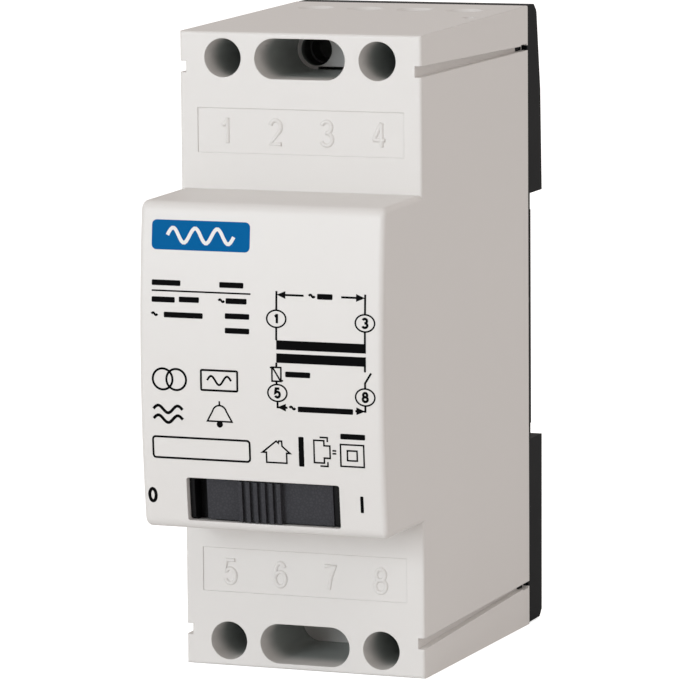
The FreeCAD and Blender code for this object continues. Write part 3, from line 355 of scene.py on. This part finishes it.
def finish(name, group, relief, colour, values, edge=0.0, metallic=0.0, specular=0.5, coat=0.0,
           shade=None):
    """Material: a Principled shader fed by a surface group, with a rounded edge and, where given, painted
    shade.
    """
    material = bpy.data.materials.new(name)
    material.use_nodes = True
    tree = material.node_tree
    shader = tree.nodes["Principled BSDF"]
    surface = tree.nodes.new("ShaderNodeGroup")
    surface.node_tree = group
    surface.inputs["Colour"].default_value = linear(colour) + [1]
    for label, value in values.items():
        surface.inputs[label].default_value = value
    skin = surface.outputs["Colour"]
    # Painted shade: a group that darkens the colour by place on the piece
    if shade is not None:
        painted_shading = tree.nodes.new("ShaderNodeGroup")
        painted_shading.node_tree = shade
        tree.links.new(skin, painted_shading.inputs["Colour"])
        skin = painted_shading.outputs["Colour"]
    tree.links.new(skin, shader.inputs["Base Color"])
    tree.links.new(surface.outputs["Roughness"], shader.inputs["Roughness"])
    bump = tree.nodes.new("ShaderNodeBump")
    bump.inputs["Distance"].default_value = relief * MM
    tree.links.new(surface.outputs["Height"], bump.inputs["Height"])
    tree.links.new(bump.outputs["Normal"], shader.inputs["Normal"])
    if edge > 0:
        rounded = tree.nodes.new("ShaderNodeBevel")
        rounded.samples = EDGE_SAMPLES
        rounded.inputs["Radius"].default_value = edge * MM
        tree.links.new(rounded.outputs["Normal"], bump.inputs["Normal"])
    shader.inputs["Metallic"].default_value = metallic
    shader.inputs["Specular IOR Level"].default_value = specular
    shader.inputs["Coat Weight"].default_value = coat
    return material


SKIN = moulded_skin()
METAL = drawn_metal()
BANDS = banded()
PEBBLES = pebbled()
# Painted shade for the wells and slots of the case
PAINTED_CAVITY_SHADE = painted_cavity_shade()


def plastic(name, colour, patchiness, roughness, edge, grain=2500, relief=0.006, specular=0.5,
            shade=None):
    """Moulded plastic, with painted shade where a shade group is given."""
    values = {"Patchiness": patchiness, "Grain Scale": grain, "Roughness": roughness,
              "Spread": PLASTIC_SPREAD}
    return finish(name, SKIN, relief, colour, values, edge=edge, specular=specular, shade=shade)


def insulation(name, colour):
    """Smooth insulation of the inner wires."""
    return plastic(name, colour, 0.12, 0.35, 0.0, grain=WIRE_GRAIN)


def printing_ink(name, colour, patchiness, roughness, specular=0.5):
    """Ink printed on the nose."""
    return plastic(name, colour, patchiness, roughness, 0.0, INK_GRAIN, INK_RELIEF, specular)


def metal(name, colour, stretch, streaks, roughness):
    """Bare or plated metal."""
    values = {"Stretch": stretch, "Streaks": streaks, "Roughness": roughness, "Spread": METAL_SPREAD}
    return finish(name, METAL, METAL_RELIEF, colour, values, edge=METAL_EDGE, metallic=1.0)


def make_finishes():
    """Materials by the record's slot names, and the three inks."""
    turns = (0, 1 / WIRE_PITCH, 0)
    tape_turns = (0, 1 / TAPE_PITCH, 0)
    sheets = (1 / SHEET_THICKNESS, 0, 0)
    return {
        # The case's colour gets painted shade on the walls of its wells and slots
        "case": plastic("white_case", (226, 223, 220), 0.03, 0.42, 0.18, specular=0.4, shade=PAINTED_CAVITY_SHADE),
        "cover": plastic("black_cover", (13, 16, 19), 0.3, 0.55, 0.15, specular=0.08),
        "latch": plastic("black_latch", (30, 32, 32), 0.3, 0.42, 0.12, specular=0.2),
        "switch_body": plastic("switch_black", (18, 18, 19), 0.25, 0.5, 0.06, specular=0.15),
        "button": finish("grained_button", PEBBLES, 0.02, (62, 62, 66),
                         {"Crease Shade": 0.25, "Roughness": 0.5}, edge=0.08, specular=0.15),
        "spring_steel": metal("spring_steel", (176, 178, 182), (300, 4000, 4000), 0.3, 0.25),
        "contact_metal": metal("stamped_copper", (206, 140, 100), (900, 3000, 300), 0.35, 0.32),
        "laminations": finish("core_sheets", BANDS, 0.05, (112, 112, 118),
                              {"Across": sheets, "Gap Shade": 0.7, "Roughness": 0.5}, metallic=0.85),
        "former": plastic("former_nylon", (222, 214, 190), 0.08, 0.5, 0.08),
        "copper_wire": finish("enamelled_turns", BANDS, 0.08, (176, 84, 36),
                              {"Across": turns, "Gap Shade": 0.8, "Roughness": 0.28},
                              metallic=0.9, coat=0.4),
        "tape": finish("winding_tape", BANDS, 0.015, (226, 190, 60),
                       {"Across": tape_turns, "Gap Shade": 0.12, "Roughness": 0.25}, coat=0.3),
        "thermistor": plastic("dipped_orange", (206, 112, 38), 0.2, 0.3, 0.1, grain=1200, relief=0.02),
        "tinned_wire": metal("tinned_wire", (200, 200, 204), (2000, 2000, 2000), 0.2, 0.22),
        "red_insulation": insulation("red_insulation", (182, 28, 22)),
        "dark_insulation": insulation("blue_insulation", (28, 44, 112)),
        # Zinc-plated screws, their colour made much darker than the plate as painted shade for the deep
        # wells that hold them
        "screw_steel": metal("screw_darkened_as_shade", (64, 65, 68), (1500, 200, 1500), 0.55, 0.3),
        "cage_steel": metal("zinc_cage", (182, 176, 158), (300, 2500, 2500), 0.35, 0.34),
        "black_ink": printing_ink("black_ink", (4, 4, 5), 0.3, 0.8, specular=0.08),
        "blue_ink": printing_ink("blue_ink", (0, 97, 158), 0.1, 0.7, specular=0.06),
        "white_ink": printing_ink("white_ink", (236, 234, 232), 0.05, 0.6),
    }


def dress_nodes(finishes):
    """Give every CAD node the finish of its slot."""
    for part in frame["record"]["subparts"]:
        node = frame["nodes"][part["node"]]
        for place in node.material_slots:
            place.material = finishes[part["material_slot"]]


def add_piece(name, shape, material):
    """New object from a bmesh, riding on the case."""
    mesh = bpy.data.meshes.new(name)
    shape.to_mesh(mesh)
    shape.free()
    mesh.materials.append(material)
    piece = bpy.data.objects.new(name, mesh)
    bpy.context.scene.collection.objects.link(piece)
    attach(piece, "case")
    return piece


def draw_line(shape, points, closed):
    """Add a line through points (x, z) in millimetres, on the plane y = 0."""
    corners = [shape.verts.new((x * MM, 0, z * MM)) for x, z in points]
    pairs = list(zip(corners, corners[1:]))
    if closed:
        pairs.append((corners[-1], corners[0]))
    edges = [shape.edges.new(pair) for pair in pairs]
    for edge in edges:
        cuts = int(edge.calc_length() / STEP_ON_CROWN)
        if cuts > 0:
            bmesh.ops.subdivide_edges(shape, edges=[edge], cuts=cuts)


def ring_points(x, z, radius, start=0, end=FULL_TURN, sides=CIRCLE_SIDES):
    """Points along an arc, in degrees from +X towards +Z; a full turn leaves its last point out."""
    full = abs(end - start) >= FULL_TURN
    count = max(int(sides * abs(end - start) / FULL_TURN), 4)
    last = count if full else count + 1
    angles = [math.radians(start + (end - start) * i / count) for i in range(last)]
    return [(x + radius * math.cos(a), z + radius * math.sin(a)) for a in angles]


def wave_points(x0, x1, z, height, waves):
    """Points along a sine wave."""
    count = int(WAVE_SIDES * waves)
    return [(x0 + (x1 - x0) * i / count, z + height * math.sin(2 * math.pi * waves * i / count))
            for i in range(count + 1)]


def lay_on_nose(shape, extruded, proud=INK_PROUD):
    """Press a flat drawing onto the nose: what was extruded stands proud of it, the rest sinks in."""
    front = [item for item in extruded if isinstance(item, bmesh.types.BMVert)]
    bmesh.ops.translate(shape, verts=front, vec=(0, -proud, 0))
    for point in shape.verts:
        face = nose_y(point.co.z)
        point.co.y = face - proud if point.co.y < 0 else face + INK_SUNK
    bmesh.ops.recalc_face_normals(shape, faces=shape.faces[:])


def line_print(name, lines, width, ink, proud=INK_PROUD):
    """Printed line drawing; each line is (points, closed)."""
    shape = bmesh.new()
    for points, closed in lines:
        draw_line(shape, points, closed)
    made = bmesh.ops.extrude_edge_only(shape, edges=shape.edges[:])
    lay_on_nose(shape, made["geom"], proud)
    piece = add_piece(name, shape, ink)
    solid = piece.modifiers.new("line_width", "SOLIDIFY")
    solid.thickness = width * MM
    solid.offset = 0
    solid.use_even_offset = True


def filled_area(shape, points):
    """Add a filled outline of points (x, z) in millimetres, split along Z to follow the crown."""
    corners = [shape.verts.new((x * MM, 0, z * MM)) for x, z in points]
    face = shape.faces.new(corners)
    low = min(z for _, z in points) * MM
    high = max(z for _, z in points) * MM
    region = [face] + list(face.edges) + list(face.verts)
    for step in range(1, int((high - low) / STEP_ON_CROWN) + 1):
        cut = bmesh.ops.bisect_plane(shape, geom=region, plane_co=(0, 0, low + step * STEP_ON_CROWN),
                                     plane_no=(0, 0, 1))
        region = cut["geom"]


def area_print(name, outlines, ink):
    """Printed filled areas."""
    shape = bmesh.new()
    for points in outlines:
        filled_area(shape, points)
    made = bmesh.ops.extrude_face_region(shape, geom=shape.faces[:])
    lay_on_nose(shape, made["geom"])
    add_piece(name, shape, ink)


def box_points(x0, x1, z0, z1):
    """Corners of an upright rectangle."""
    return [(x0, z0), (x1, z0), (x1, z1), (x0, z1)]


def rounded_box_points(x0, x1, z0, z1, radius, sides=CORNER_SIDES):
    """Outline of a rectangle with round corners."""
    points = []
    for x, z, start in ((x1 - radius, z1 - radius, 0), (x0 + radius, z1 - radius, 90),
                        (x0 + radius, z0 + radius, 180), (x1 - radius, z0 + radius, 270)):
        points += ring_points(x, z, radius, start, start + 90, sides)
    return points


# Strokes of the numbers in a frame from -1 to 1 both ways: points, or arcs (x, z, wide, high, from, to)
DIGITS = {
    "1": [[(-0.62, 0.48), (-0.12, 0.66), (0.25, 1)], [(0.25, 1.1), (0.25, -1)]],
    "2": [[(0, 0.42, 0.92, 0.58, 165, -38), (-0.95, -1), (1, -1)]],
    "3": [[(-0.05, 0.52, 0.85, 0.48, 160, -90)], [(-0.05, -0.48, 1.0, 0.52, 100, -160)]],
    "4": [[(0.4, -1), (0.4, 1)], [(0.4, 1), (-1, -0.42)], [(-1.05, -0.42), (1, -0.42)]],
    "5": [[(0.85, 1), (-0.62, 1), (-0.85, 0.02), (0, -0.36, 0.97, 0.64, 140, -155)]],
    "6": [[(0.05, 0, 1.0, 1.0, 40, 185), (0, -0.38, 0.95, 0.62, 179, -180)]],
    "7": [[(-0.95, 1), (0.95, 1), (0.1, 0), (-0.25, -1)]],
    "8": [[(0, 0.52, 0.8, 0.48, 0, 360)], [(0, -0.46, 0.98, 0.54, 0, 360)]],
}
DIGIT_WIDTH = 0.58


def digit_strokes(digit, x, z, height, width=DIGIT_WIDTH):
    """Strokes (points, closed) of a number about a place, by the height of its middle line.

    The width is a share of the height.
    """
    strokes = []
    for parts in DIGITS[digit]:
        points = []
        for part in parts:
            if len(part) == 2:
                points.append(part)
            else:
                px, pz, wide, high, start, end = part
                arc = ring_points(0, 0, 1, start, end, DIGIT_SIDES)
                points += [(px + wide * u, pz + high * w) for u, w in arc]
        closed = len(parts[0]) == 6 and parts[0][5] - parts[0][4] == FULL_TURN
        strokes.append(([(x + u * height * width / 2, z + w * height / 2) for u, w in points], closed))
    return strokes


def rounded_strokes(strokes, radius, y):
    """Bmesh of round bars along strokes in millimetres, at one depth."""
    lines = bpy.data.curves.new("strokes", "CURVE")
    lines.dimensions = "3D"
    lines.bevel_depth = radius * MM
    lines.bevel_resolution = RAISED_ROUNDNESS
    lines.use_fill_caps = True
    for points, closed in strokes:
        line = lines.splines.new("POLY")
        line.points.add(len(points) - 1)
        for point, (x, z) in zip(line.points, points):
            point.co = (x * MM, y, z * MM, 1)
        line.use_cyclic_u = closed
    carrier = bpy.data.objects.new("strokes", lines)
    bpy.context.scene.collection.objects.link(carrier)
    mesh = bpy.data.meshes.new_from_object(carrier.evaluated_get(bpy.context.evaluated_depsgraph_get()))
    bpy.data.objects.remove(carrier)
    shape = bmesh.new()
    shape.from_mesh(mesh)
    bpy.data.meshes.remove(mesh)
    return shape


# The print, in millimetres across and up from the middle of the rail. The wiring diagram: circles, numbers,
# arrows, where the leads stop beside the voltages, the two bars of the core, thermistor and switch
TERMINAL_CIRCLES = {"1": (2.42, 7.22), "3": (15.18, 7.12), "5": (2.52, -2.87), "8": (15.18, -2.9)}
DIAGRAM_LEFT = TERMINAL_CIRCLES["1"][0]
DIAGRAM_RIGHT = TERMINAL_CIRCLES["3"][0]
CIRCLE_WIDE = 1.38
CIRCLE_HIGH = 1.16
DIGIT_HEIGHT = 1.2
UPPER_ARROWS_Z = 10.49
LOWER_ARROWS_Z = -4.83
UPPER_STOPS = (6.35, 11.75)
LOWER_STOPS = (3.95, 13.75)
LEAD_ABOVE_ARROWS = 0.5
LEAD_FOOT = 0.2
ARROW_LENGTH = 1.25
ARROW_HALF = 0.52
ARROW_GAP = 0.04
CORE_BARS = ((4.32, 3.05), (2.54, 1.26))
CORE_FOOT = CORE_BARS[1][1]
CORE_PAST_LEAD = 0.14
THERMISTOR_FOOT = -1.27
THERMISTOR_TOP = 0.62
THERMISTOR_HALF = 0.65
SLASH_HALF = 0.95
SLASH_BEND = 0.55
SLASH_BELOW_TOP = 0.05
SLASH_ABOVE_FOOT = 0.1
SWITCH_STUB = 0.75
SWITCH_ARM = (0.88, 2.15)

# Small waves beside the voltages
SMALL_WAVES = ((7.1, UPPER_ARROWS_Z), (4.25, LOWER_ARROWS_Z), (-15.8, 7.2), (-6.0, 9.35))
SMALL_WAVE_LENGTH = 0.85
SMALL_WAVE_HEIGHT = 0.17

# Rating text as plain bars, one for each word: (from, to, middle height), and (across, from, to) if upright
WORDS = (
    (-15.8, -11.6, 11.5), (-5.9, -2.4, 11.5),
    (-15.8, -12.4, 9.2), (-11.8, -8.85, 9.3), (-4.95, -1.9, 9.35),
    (-14.0, -8.3, 7.15), (-5.05, -1.5, 7.3), (-5.05, -1.5, 5.32),
    (8.3, 10.5, 10.45), (3.7, 7.3, -0.27), (5.45, 13.4, -4.97), (11.5, 15.05, -8.4),
)
UPRIGHT_WORD = (5.8, -12.85, -8.75)
WORD_HALF = 0.38
WORD_ROUND = 0.14
HEADING_RULE = (-15.8, -1.34, 10.3, 10.52)

# Marks and fields: boxes as (from, to, low, high) and waves as (from, to, middle height, swing, waves)
JOINED_CIRCLES_X = (-14.25, -12.25)
JOINED_CIRCLES_Z = -1.7
JOINED_CIRCLES_RADIUS = 1.45
WAVE_BOX = (-8.6, -3.3, -2.95, -0.2)
WAVE_BOX_ROUND = 0.15
WAVE_IN_BOX = (-7.7, -4.2, -1.58, 0.6, 1.5)
DOUBLE_WAVE = ((-15.7, -11.4, -5.85, 0.5, 1.5), (-15.7, -11.4, -7.2, 0.5, 1.5))
LABEL_BOX = (-15.9, -1.7, -12.6, -9.7)
LABEL_ROUND = 0.4
BLUE_BOX = (-15.9, -1.57, 15.99, 20.04)
BLUE_ROUND = 0.7
WHITE_WAVE = (-13.6, -3.9, 18.0, 1.0, 3)
OFF_MARK_PLACE = (-16.27, -17.94)
OFF_MARK_HALF = (0.47, 0.86)
ON_MARK_BOX = (14.08, 14.54, -18.85, -16.55)
ON_MARK_ROUND = 0.12


def wiring_leads():
    """Leads from the four terminal circles, and the inner ones of the thermistor and the switch."""
    leads = []
    for name in ("1", "3"):
        x, z = TERMINAL_CIRCLES[name]
        leads.append(([(x, z + CIRCLE_HIGH), (x, UPPER_ARROWS_Z + LEAD_ABOVE_ARROWS)], False))
        leads.append(([(x, z - CIRCLE_HIGH), (x, CORE_BARS[0][0])], False))
    for name, way in (("5", 1), ("8", -1)):
        x, z = TERMINAL_CIRCLES[name]
        foot = (x + way * LEAD_FOOT, LOWER_ARROWS_Z)
        leads.append(([(x, z - CIRCLE_HIGH), (x, LOWER_ARROWS_Z), foot], False))
    for z, (stop_left, stop_right) in ((UPPER_ARROWS_Z, UPPER_STOPS), (LOWER_ARROWS_Z, LOWER_STOPS)):
        leads.append(([(DIAGRAM_LEFT + ARROW_LENGTH / 2, z), (stop_left, z)], False))
        leads.append(([(stop_right, z), (DIAGRAM_RIGHT - ARROW_LENGTH / 2, z)], False))
    x = DIAGRAM_LEFT
    leads.append(([(x, CORE_FOOT), (x, THERMISTOR_TOP)], False))
    leads.append(([(x, THERMISTOR_FOOT), (x, TERMINAL_CIRCLES["5"][1] + CIRCLE_HIGH)], False))
    x, z = TERMINAL_CIRCLES["8"]
    z += CIRCLE_HIGH
    arm_x, arm_z = SWITCH_ARM
    leads.append(([(x, z), (x, z + SWITCH_STUB), (x + arm_x, z + arm_z)], False))
    leads.append(([(x, CORE_FOOT), (x, CORE_FOOT - SWITCH_STUB)], False))
    return leads


def thermistor_mark(ink):
    """Box with a bent slash through it."""
    x = DIAGRAM_LEFT
    top = THERMISTOR_TOP - SLASH_BELOW_TOP
    foot = THERMISTOR_FOOT + SLASH_ABOVE_FOOT
    slash = [(x - SLASH_HALF, top), (x - SLASH_BEND, top), (x + SLASH_BEND, foot), (x + SLASH_HALF, foot)]
    box = box_points(x - THERMISTOR_HALF, x + THERMISTOR_HALF, THERMISTOR_FOOT, THERMISTOR_TOP)
    line_print("thermistor_mark", [(box, True), (slash, False)], THIN_LINE, ink)


def wiring_diagram(ink):
    """Transformer diagram with its four terminal circles, thermistor and switch."""
    circles = [([(x + CIRCLE_WIDE * u, z + CIRCLE_HIGH * w) for u, w in ring_points(0, 0, 1)], True)
               for x, z in TERMINAL_CIRCLES.values()]
    line_print("terminal_circles", circles, THIN_LINE, ink)
    line_print("wiring_lines", wiring_leads(), LEAD_LINE, ink)
    thermistor_mark(ink)
    areas = [box_points(DIAGRAM_LEFT, DIAGRAM_RIGHT + CORE_PAST_LEAD, low, high) for high, low in CORE_BARS]
    for z in (UPPER_ARROWS_Z, LOWER_ARROWS_Z):
        for x, way in ((DIAGRAM_LEFT, 1), (DIAGRAM_RIGHT, -1)):
            tip = x + way * ARROW_GAP
            areas.append([(tip, z), (tip + way * ARROW_LENGTH, z - ARROW_HALF),
                          (tip + way * ARROW_LENGTH, z + ARROW_HALF)])
    area_print("wiring_bars", areas, ink)
    numbers = []
    for digit, (x, z) in TERMINAL_CIRCLES.items():
        numbers += digit_strokes(digit, x, z, DIGIT_HEIGHT)
    line_print("wiring_numbers", numbers, DIGIT_LINE, ink)
    waves = [(wave_points(x, x + SMALL_WAVE_LENGTH, z, SMALL_WAVE_HEIGHT, 1), False)
             for x, z in SMALL_WAVES]
    line_print("supply_waves", waves, SYMBOL_LINE, ink)


def word_bars(ink):
    """Rating text as plain bars, with the rule above it."""
    bars = [rounded_box_points(x0, x1, z - WORD_HALF, z + WORD_HALF, WORD_ROUND) for x0, x1, z in WORDS]
    x, low, high = UPRIGHT_WORD
    bars.append(rounded_box_points(x - WORD_HALF, x + WORD_HALF, low, high, WORD_ROUND))
    area_print("word_bars", bars, ink)
    area_print("heading_rule", [box_points(*HEADING_RULE)], ink)


def bell_symbol(ink):
    """Bell with its stem, rim and clapper."""
    x, base, crown = -5.98, -7.2, -6.02
    half, mouth, stem = 1.02, 1.8, 0.6
    dome_from, dome_to = 15, 165
    clapper_drop, clapper_radius = 0.4, 0.45
    dome = ring_points(x, crown, half, dome_from, dome_to)
    line_print("bell_outline", [([(x + mouth, base)] + dome + [(x - mouth, base)], True),
                                ([(x, crown + half), (x, crown + half + stem)], False)], THIN_LINE, ink)
    clapper = ring_points(x, base - clapper_drop, clapper_radius, sides=CLAPPER_SIDES)
    area_print("bell_clapper", [clapper], ink)


def house_symbol(ink):
    """House with a chimney, for indoor use."""
    low, eaves, ridge = -12.5, -11.12, -9.5
    chimney = ridge + 0.02
    outline = [(0.72, low), (0.72, eaves), (0.16, eaves), (2.18, ridge), (2.5, ridge - 0.26),
               (2.55, chimney), (2.98, chimney), (3.02, ridge - 0.68), (4.14, eaves),
               (3.65, eaves), (3.65, low)]
    line_print("house_outline", [(outline, True)], THIN_LINE, ink)


def plug_symbol(ink):
    """Stepped plug shape between two corner brackets, with its two short bars."""
    back, shoulder, front, middle = 7.65, 9.1, 9.95, -10.65
    tall, short = 1.54, 0.85
    bracket_from, bracket_to, bracket, bracket_leg = 8.5, 9.6, 1.98, 0.6
    bar_from, bar_to = 10.3, 10.85
    bars = (-0.18, 0.22)
    upper = [(back, tall), (shoulder, tall), (shoulder, short), (front, short)]
    outline = upper + [(x, -z) for x, z in reversed(upper)]
    corner = [(bracket_from, bracket), (bracket_to, bracket), (bracket_to, bracket - bracket_leg)]
    lines = [(outline, True), (corner, False), ([(x, -z) for x, z in corner], False)]
    lines += [([(bar_from, z), (bar_to, z)], False) for z in bars]
    line_print("plug_outline", [([(x, middle + z) for x, z in points], closed) for points, closed in lines],
               THIN_LINE, ink)


def double_square_symbol(ink):
    """Square in a square, for double insulation."""
    x, z = 13.15, -11.0
    halves = ((1.67, 1.5), (0.7, 0.68))
    squares = [(box_points(x - wide, x + wide, z - high, z + high), True) for wide, high in halves]
    line_print("double_square", squares, THIN_LINE, ink)


def plain_marks(ink):
    """Generic marks: two joined circles, a boxed wave and a double wave."""
    circles = [(ring_points(x, JOINED_CIRCLES_Z, JOINED_CIRCLES_RADIUS), True) for x in JOINED_CIRCLES_X]
    line_print("joined_circles", circles, SYMBOL_LINE, ink)
    box = rounded_box_points(*WAVE_BOX, WAVE_BOX_ROUND)
    line_print("boxed_wave", [(box, True), (wave_points(*WAVE_IN_BOX), False)], LEAD_LINE, ink)
    waves = [(wave_points(*wave), False) for wave in DOUBLE_WAVE]
    line_print("double_wave", waves, WIDE_WAVE_LINE, ink)


def label_field(ink):
    """Blank outlined field for a label."""
    outer = rounded_box_points(*LABEL_BOX, LABEL_ROUND, LABEL_SIDES)
    line_print("label_field", [(outer, True)], LEAD_LINE, ink)


def blue_field(blue, white):
    """Blue field with a plain white wave, which is printed over it."""
    area_print("blue_field", [rounded_box_points(*BLUE_BOX, BLUE_ROUND, FIELD_SIDES)], blue)
    wave = wave_points(*WHITE_WAVE)
    line_print("blue_field_wave", [(wave, False)], FIELD_WAVE_LINE, white, proud=2 * INK_PROUD)


def switch_marks(ink):
    """The 0 and I beside the switch."""
    x, z = OFF_MARK_PLACE
    wide, high = OFF_MARK_HALF
    outer = [(x + wide * u, z + high * w) for u, w in ring_points(0, 0, 1)]
    line_print("off_mark", [(outer, True)], OFF_LINE, ink)
    area_print("on_mark", [rounded_box_points(*ON_MARK_BOX, ON_MARK_ROUND)], ink)


# Moulded numbers on the panels of the shoulders, in millimetres: places, heights of the rows, size and bars
RAISED_UPPER = (("1", -10.95), ("2", -3.62), ("3", 3.92), ("4", 11.56))
RAISED_LOWER = (("5", -11.1), ("6", -3.6), ("7", 3.84), ("8", 11.3))
RAISED_UPPER_Z = 30.8
RAISED_LOWER_Z = -31.1
RAISED_HEIGHT = 3.3
RAISED_WIDTH = 0.5
RAISED_RADIUS = 0.31
RAISED_ROUNDNESS = 3
RAISED_SUNK = 0.08 * MM


def raised_numbers(name, numbers, z, material):
    """Moulded numbers that stand up from the recessed panel of a shoulder."""
    strokes = []
    for digit, x in numbers:
        strokes += digit_strokes(digit, x, z, RAISED_HEIGHT, RAISED_WIDTH)
    shape = rounded_strokes(strokes, RAISED_RADIUS, SHOULDER_Y + PANEL_DEPTH + RAISED_SUNK)
    piece = add_piece(name, shape, material)
    for face in piece.data.polygons:
        face.use_smooth = True


def seen_by_camera(tree):
    """One for what the camera sees itself, and zero for light and reflections."""
    return tree.nodes.new("ShaderNodeLightPath").outputs["Is Camera Ray"]


def floor_material():
    """Pale floor that looks white to the camera and still shows the shadow."""
    material = bpy.data.materials.new("pale_floor")
    material.use_nodes = True
    tree = material.node_tree
    shader = tree.nodes["Principled BSDF"]
    surface = tree.nodes.new("ShaderNodeGroup")
    surface.node_tree = SKIN
    surface.inputs["Colour"].default_value = FLOOR_COLOUR
    surface.inputs["Patchiness"].default_value = FLOOR_PATCHINESS
    surface.inputs["Roughness"].default_value = FLOOR_ROUGHNESS
    tree.links.new(surface.outputs["Colour"], shader.inputs["Base Color"])
    tree.links.new(surface.outputs["Roughness"], shader.inputs["Roughness"])
    shader.inputs["Emission Color"].default_value = WHITE
    glow = math_node(tree, "MULTIPLY", seen_by_camera(tree), FLOOR_GLOW)
    tree.links.new(glow, shader.inputs["Emission Strength"])
    return material


def add_floor():
    """Large plane under the case."""
    shape = bmesh.new()
    bmesh.ops.create_grid(shape, x_segments=1, y_segments=1, size=FLOOR_HALF)
    tilt = Matrix.Rotation(-FLOOR_TILT, 3, "X")
    bmesh.ops.rotate(shape, verts=shape.verts[:], cent=(0, 0, 0), matrix=tilt)
    bmesh.ops.translate(shape, verts=shape.verts[:], vec=(0, SHOULDER_Y / 2, FLOOR_MIDDLE_Z))
    mesh = bpy.data.meshes.new("floor")
    shape.to_mesh(mesh)
    shape.free()
    mesh.materials.append(floor_material())
    floor = bpy.data.objects.new("floor", mesh)
    bpy.context.scene.collection.objects.link(floor)


def add_world():
    """Soft light all round, seen as white by the camera."""
    world = bpy.data.worlds.new("studio")
    world.use_nodes = True
    bpy.context.scene.world = world
    tree = world.node_tree
    background = tree.nodes["Background"]
    seen = seen_by_camera(tree)
    colour = tree.nodes.new("ShaderNodeMix")
    colour.data_type = "RGBA"
    colour.inputs["A"].default_value = WORLD_COLOUR
    colour.inputs["B"].default_value = WHITE
    tree.links.new(seen, colour.inputs["Factor"])
    tree.links.new(colour.outputs["Result"], background.inputs["Color"])
    strength = math_node(tree, "ADD", math_node(tree, "MULTIPLY", seen, 1 - WORLD_LIGHT), WORLD_LIGHT)
    tree.links.new(strength, background.inputs["Strength"])


def add_lamp(name, turn, rise, size, watts, colour):
    """Square soft lamp aimed at the middle of the object."""
    light = bpy.data.lights.new(name, "AREA")
    light.size = size
    light.energy = watts
    light.color = colour
    turn, rise = math.radians(turn), math.radians(rise)
    way = Vector((math.sin(turn) * math.cos(rise), -math.cos(turn) * math.cos(rise), math.sin(rise)))
    lamp = bpy.data.objects.new(name, light)
    lamp.location = Vector((0, SHOULDER_Y / 2, 0)) + way * LAMP_AWAY
    lamp.rotation_euler = way.to_track_quat("Z", "Y").to_euler()
    lamp.visible_camera = False
    bpy.context.scene.collection.objects.link(lamp)


def add_camera():
    """Camera at the photograph's place."""
    turn, rise, roll = CAMERA_TURN, CAMERA_RISE, CAMERA_ROLL
    back = Vector((math.sin(turn) * math.cos(rise), -math.cos(turn) * math.cos(rise), math.sin(rise)))
    level = Vector((math.cos(turn), math.sin(turn), 0))
    upright = back.cross(level)
    right = level * math.cos(roll) + upright * math.sin(roll)
    up = upright * math.cos(roll) - level * math.sin(roll)
    place = right * CAMERA_RIGHT + up * CAMERA_UP + back * CAMERA_AWAY
    place.y -= RAIL_TO_SHOULDER
    view = bpy.data.cameras.new("photograph")
    view.sensor_width = SENSOR
    view.lens = FOCAL_PIXELS / IMAGE_PIXELS * SENSOR
    view.clip_start = CLIP_NEAR
    view.clip_end = CLIP_FAR
    camera = bpy.data.objects.new("photograph", view)
    camera.matrix_world = Matrix((right, up, back)).transposed().to_4x4()
    camera.location = place
    bpy.context.scene.collection.objects.link(camera)
    bpy.context.scene.camera = camera


finishes = make_finishes()
dress_nodes(finishes)
black = finishes["black_ink"]
blue_field(finishes["blue_ink"], finishes["white_ink"])
word_bars(black)
wiring_diagram(black)
bell_symbol(black)
house_symbol(black)
plug_symbol(black)
double_square_symbol(black)
plain_marks(black)
label_field(black)
switch_marks(black)
raised_numbers("raised_numbers_upper", RAISED_UPPER, RAISED_UPPER_Z, finishes["case"])
raised_numbers("raised_numbers_lower", RAISED_LOWER, RAISED_LOWER_Z, finishes["case"])

add_floor()
add_world()
for name, lamp in LAMPS.items():
    add_lamp(name, *lamp)
add_camera()
bpy.context.scene.view_settings.view_transform = "Standard"
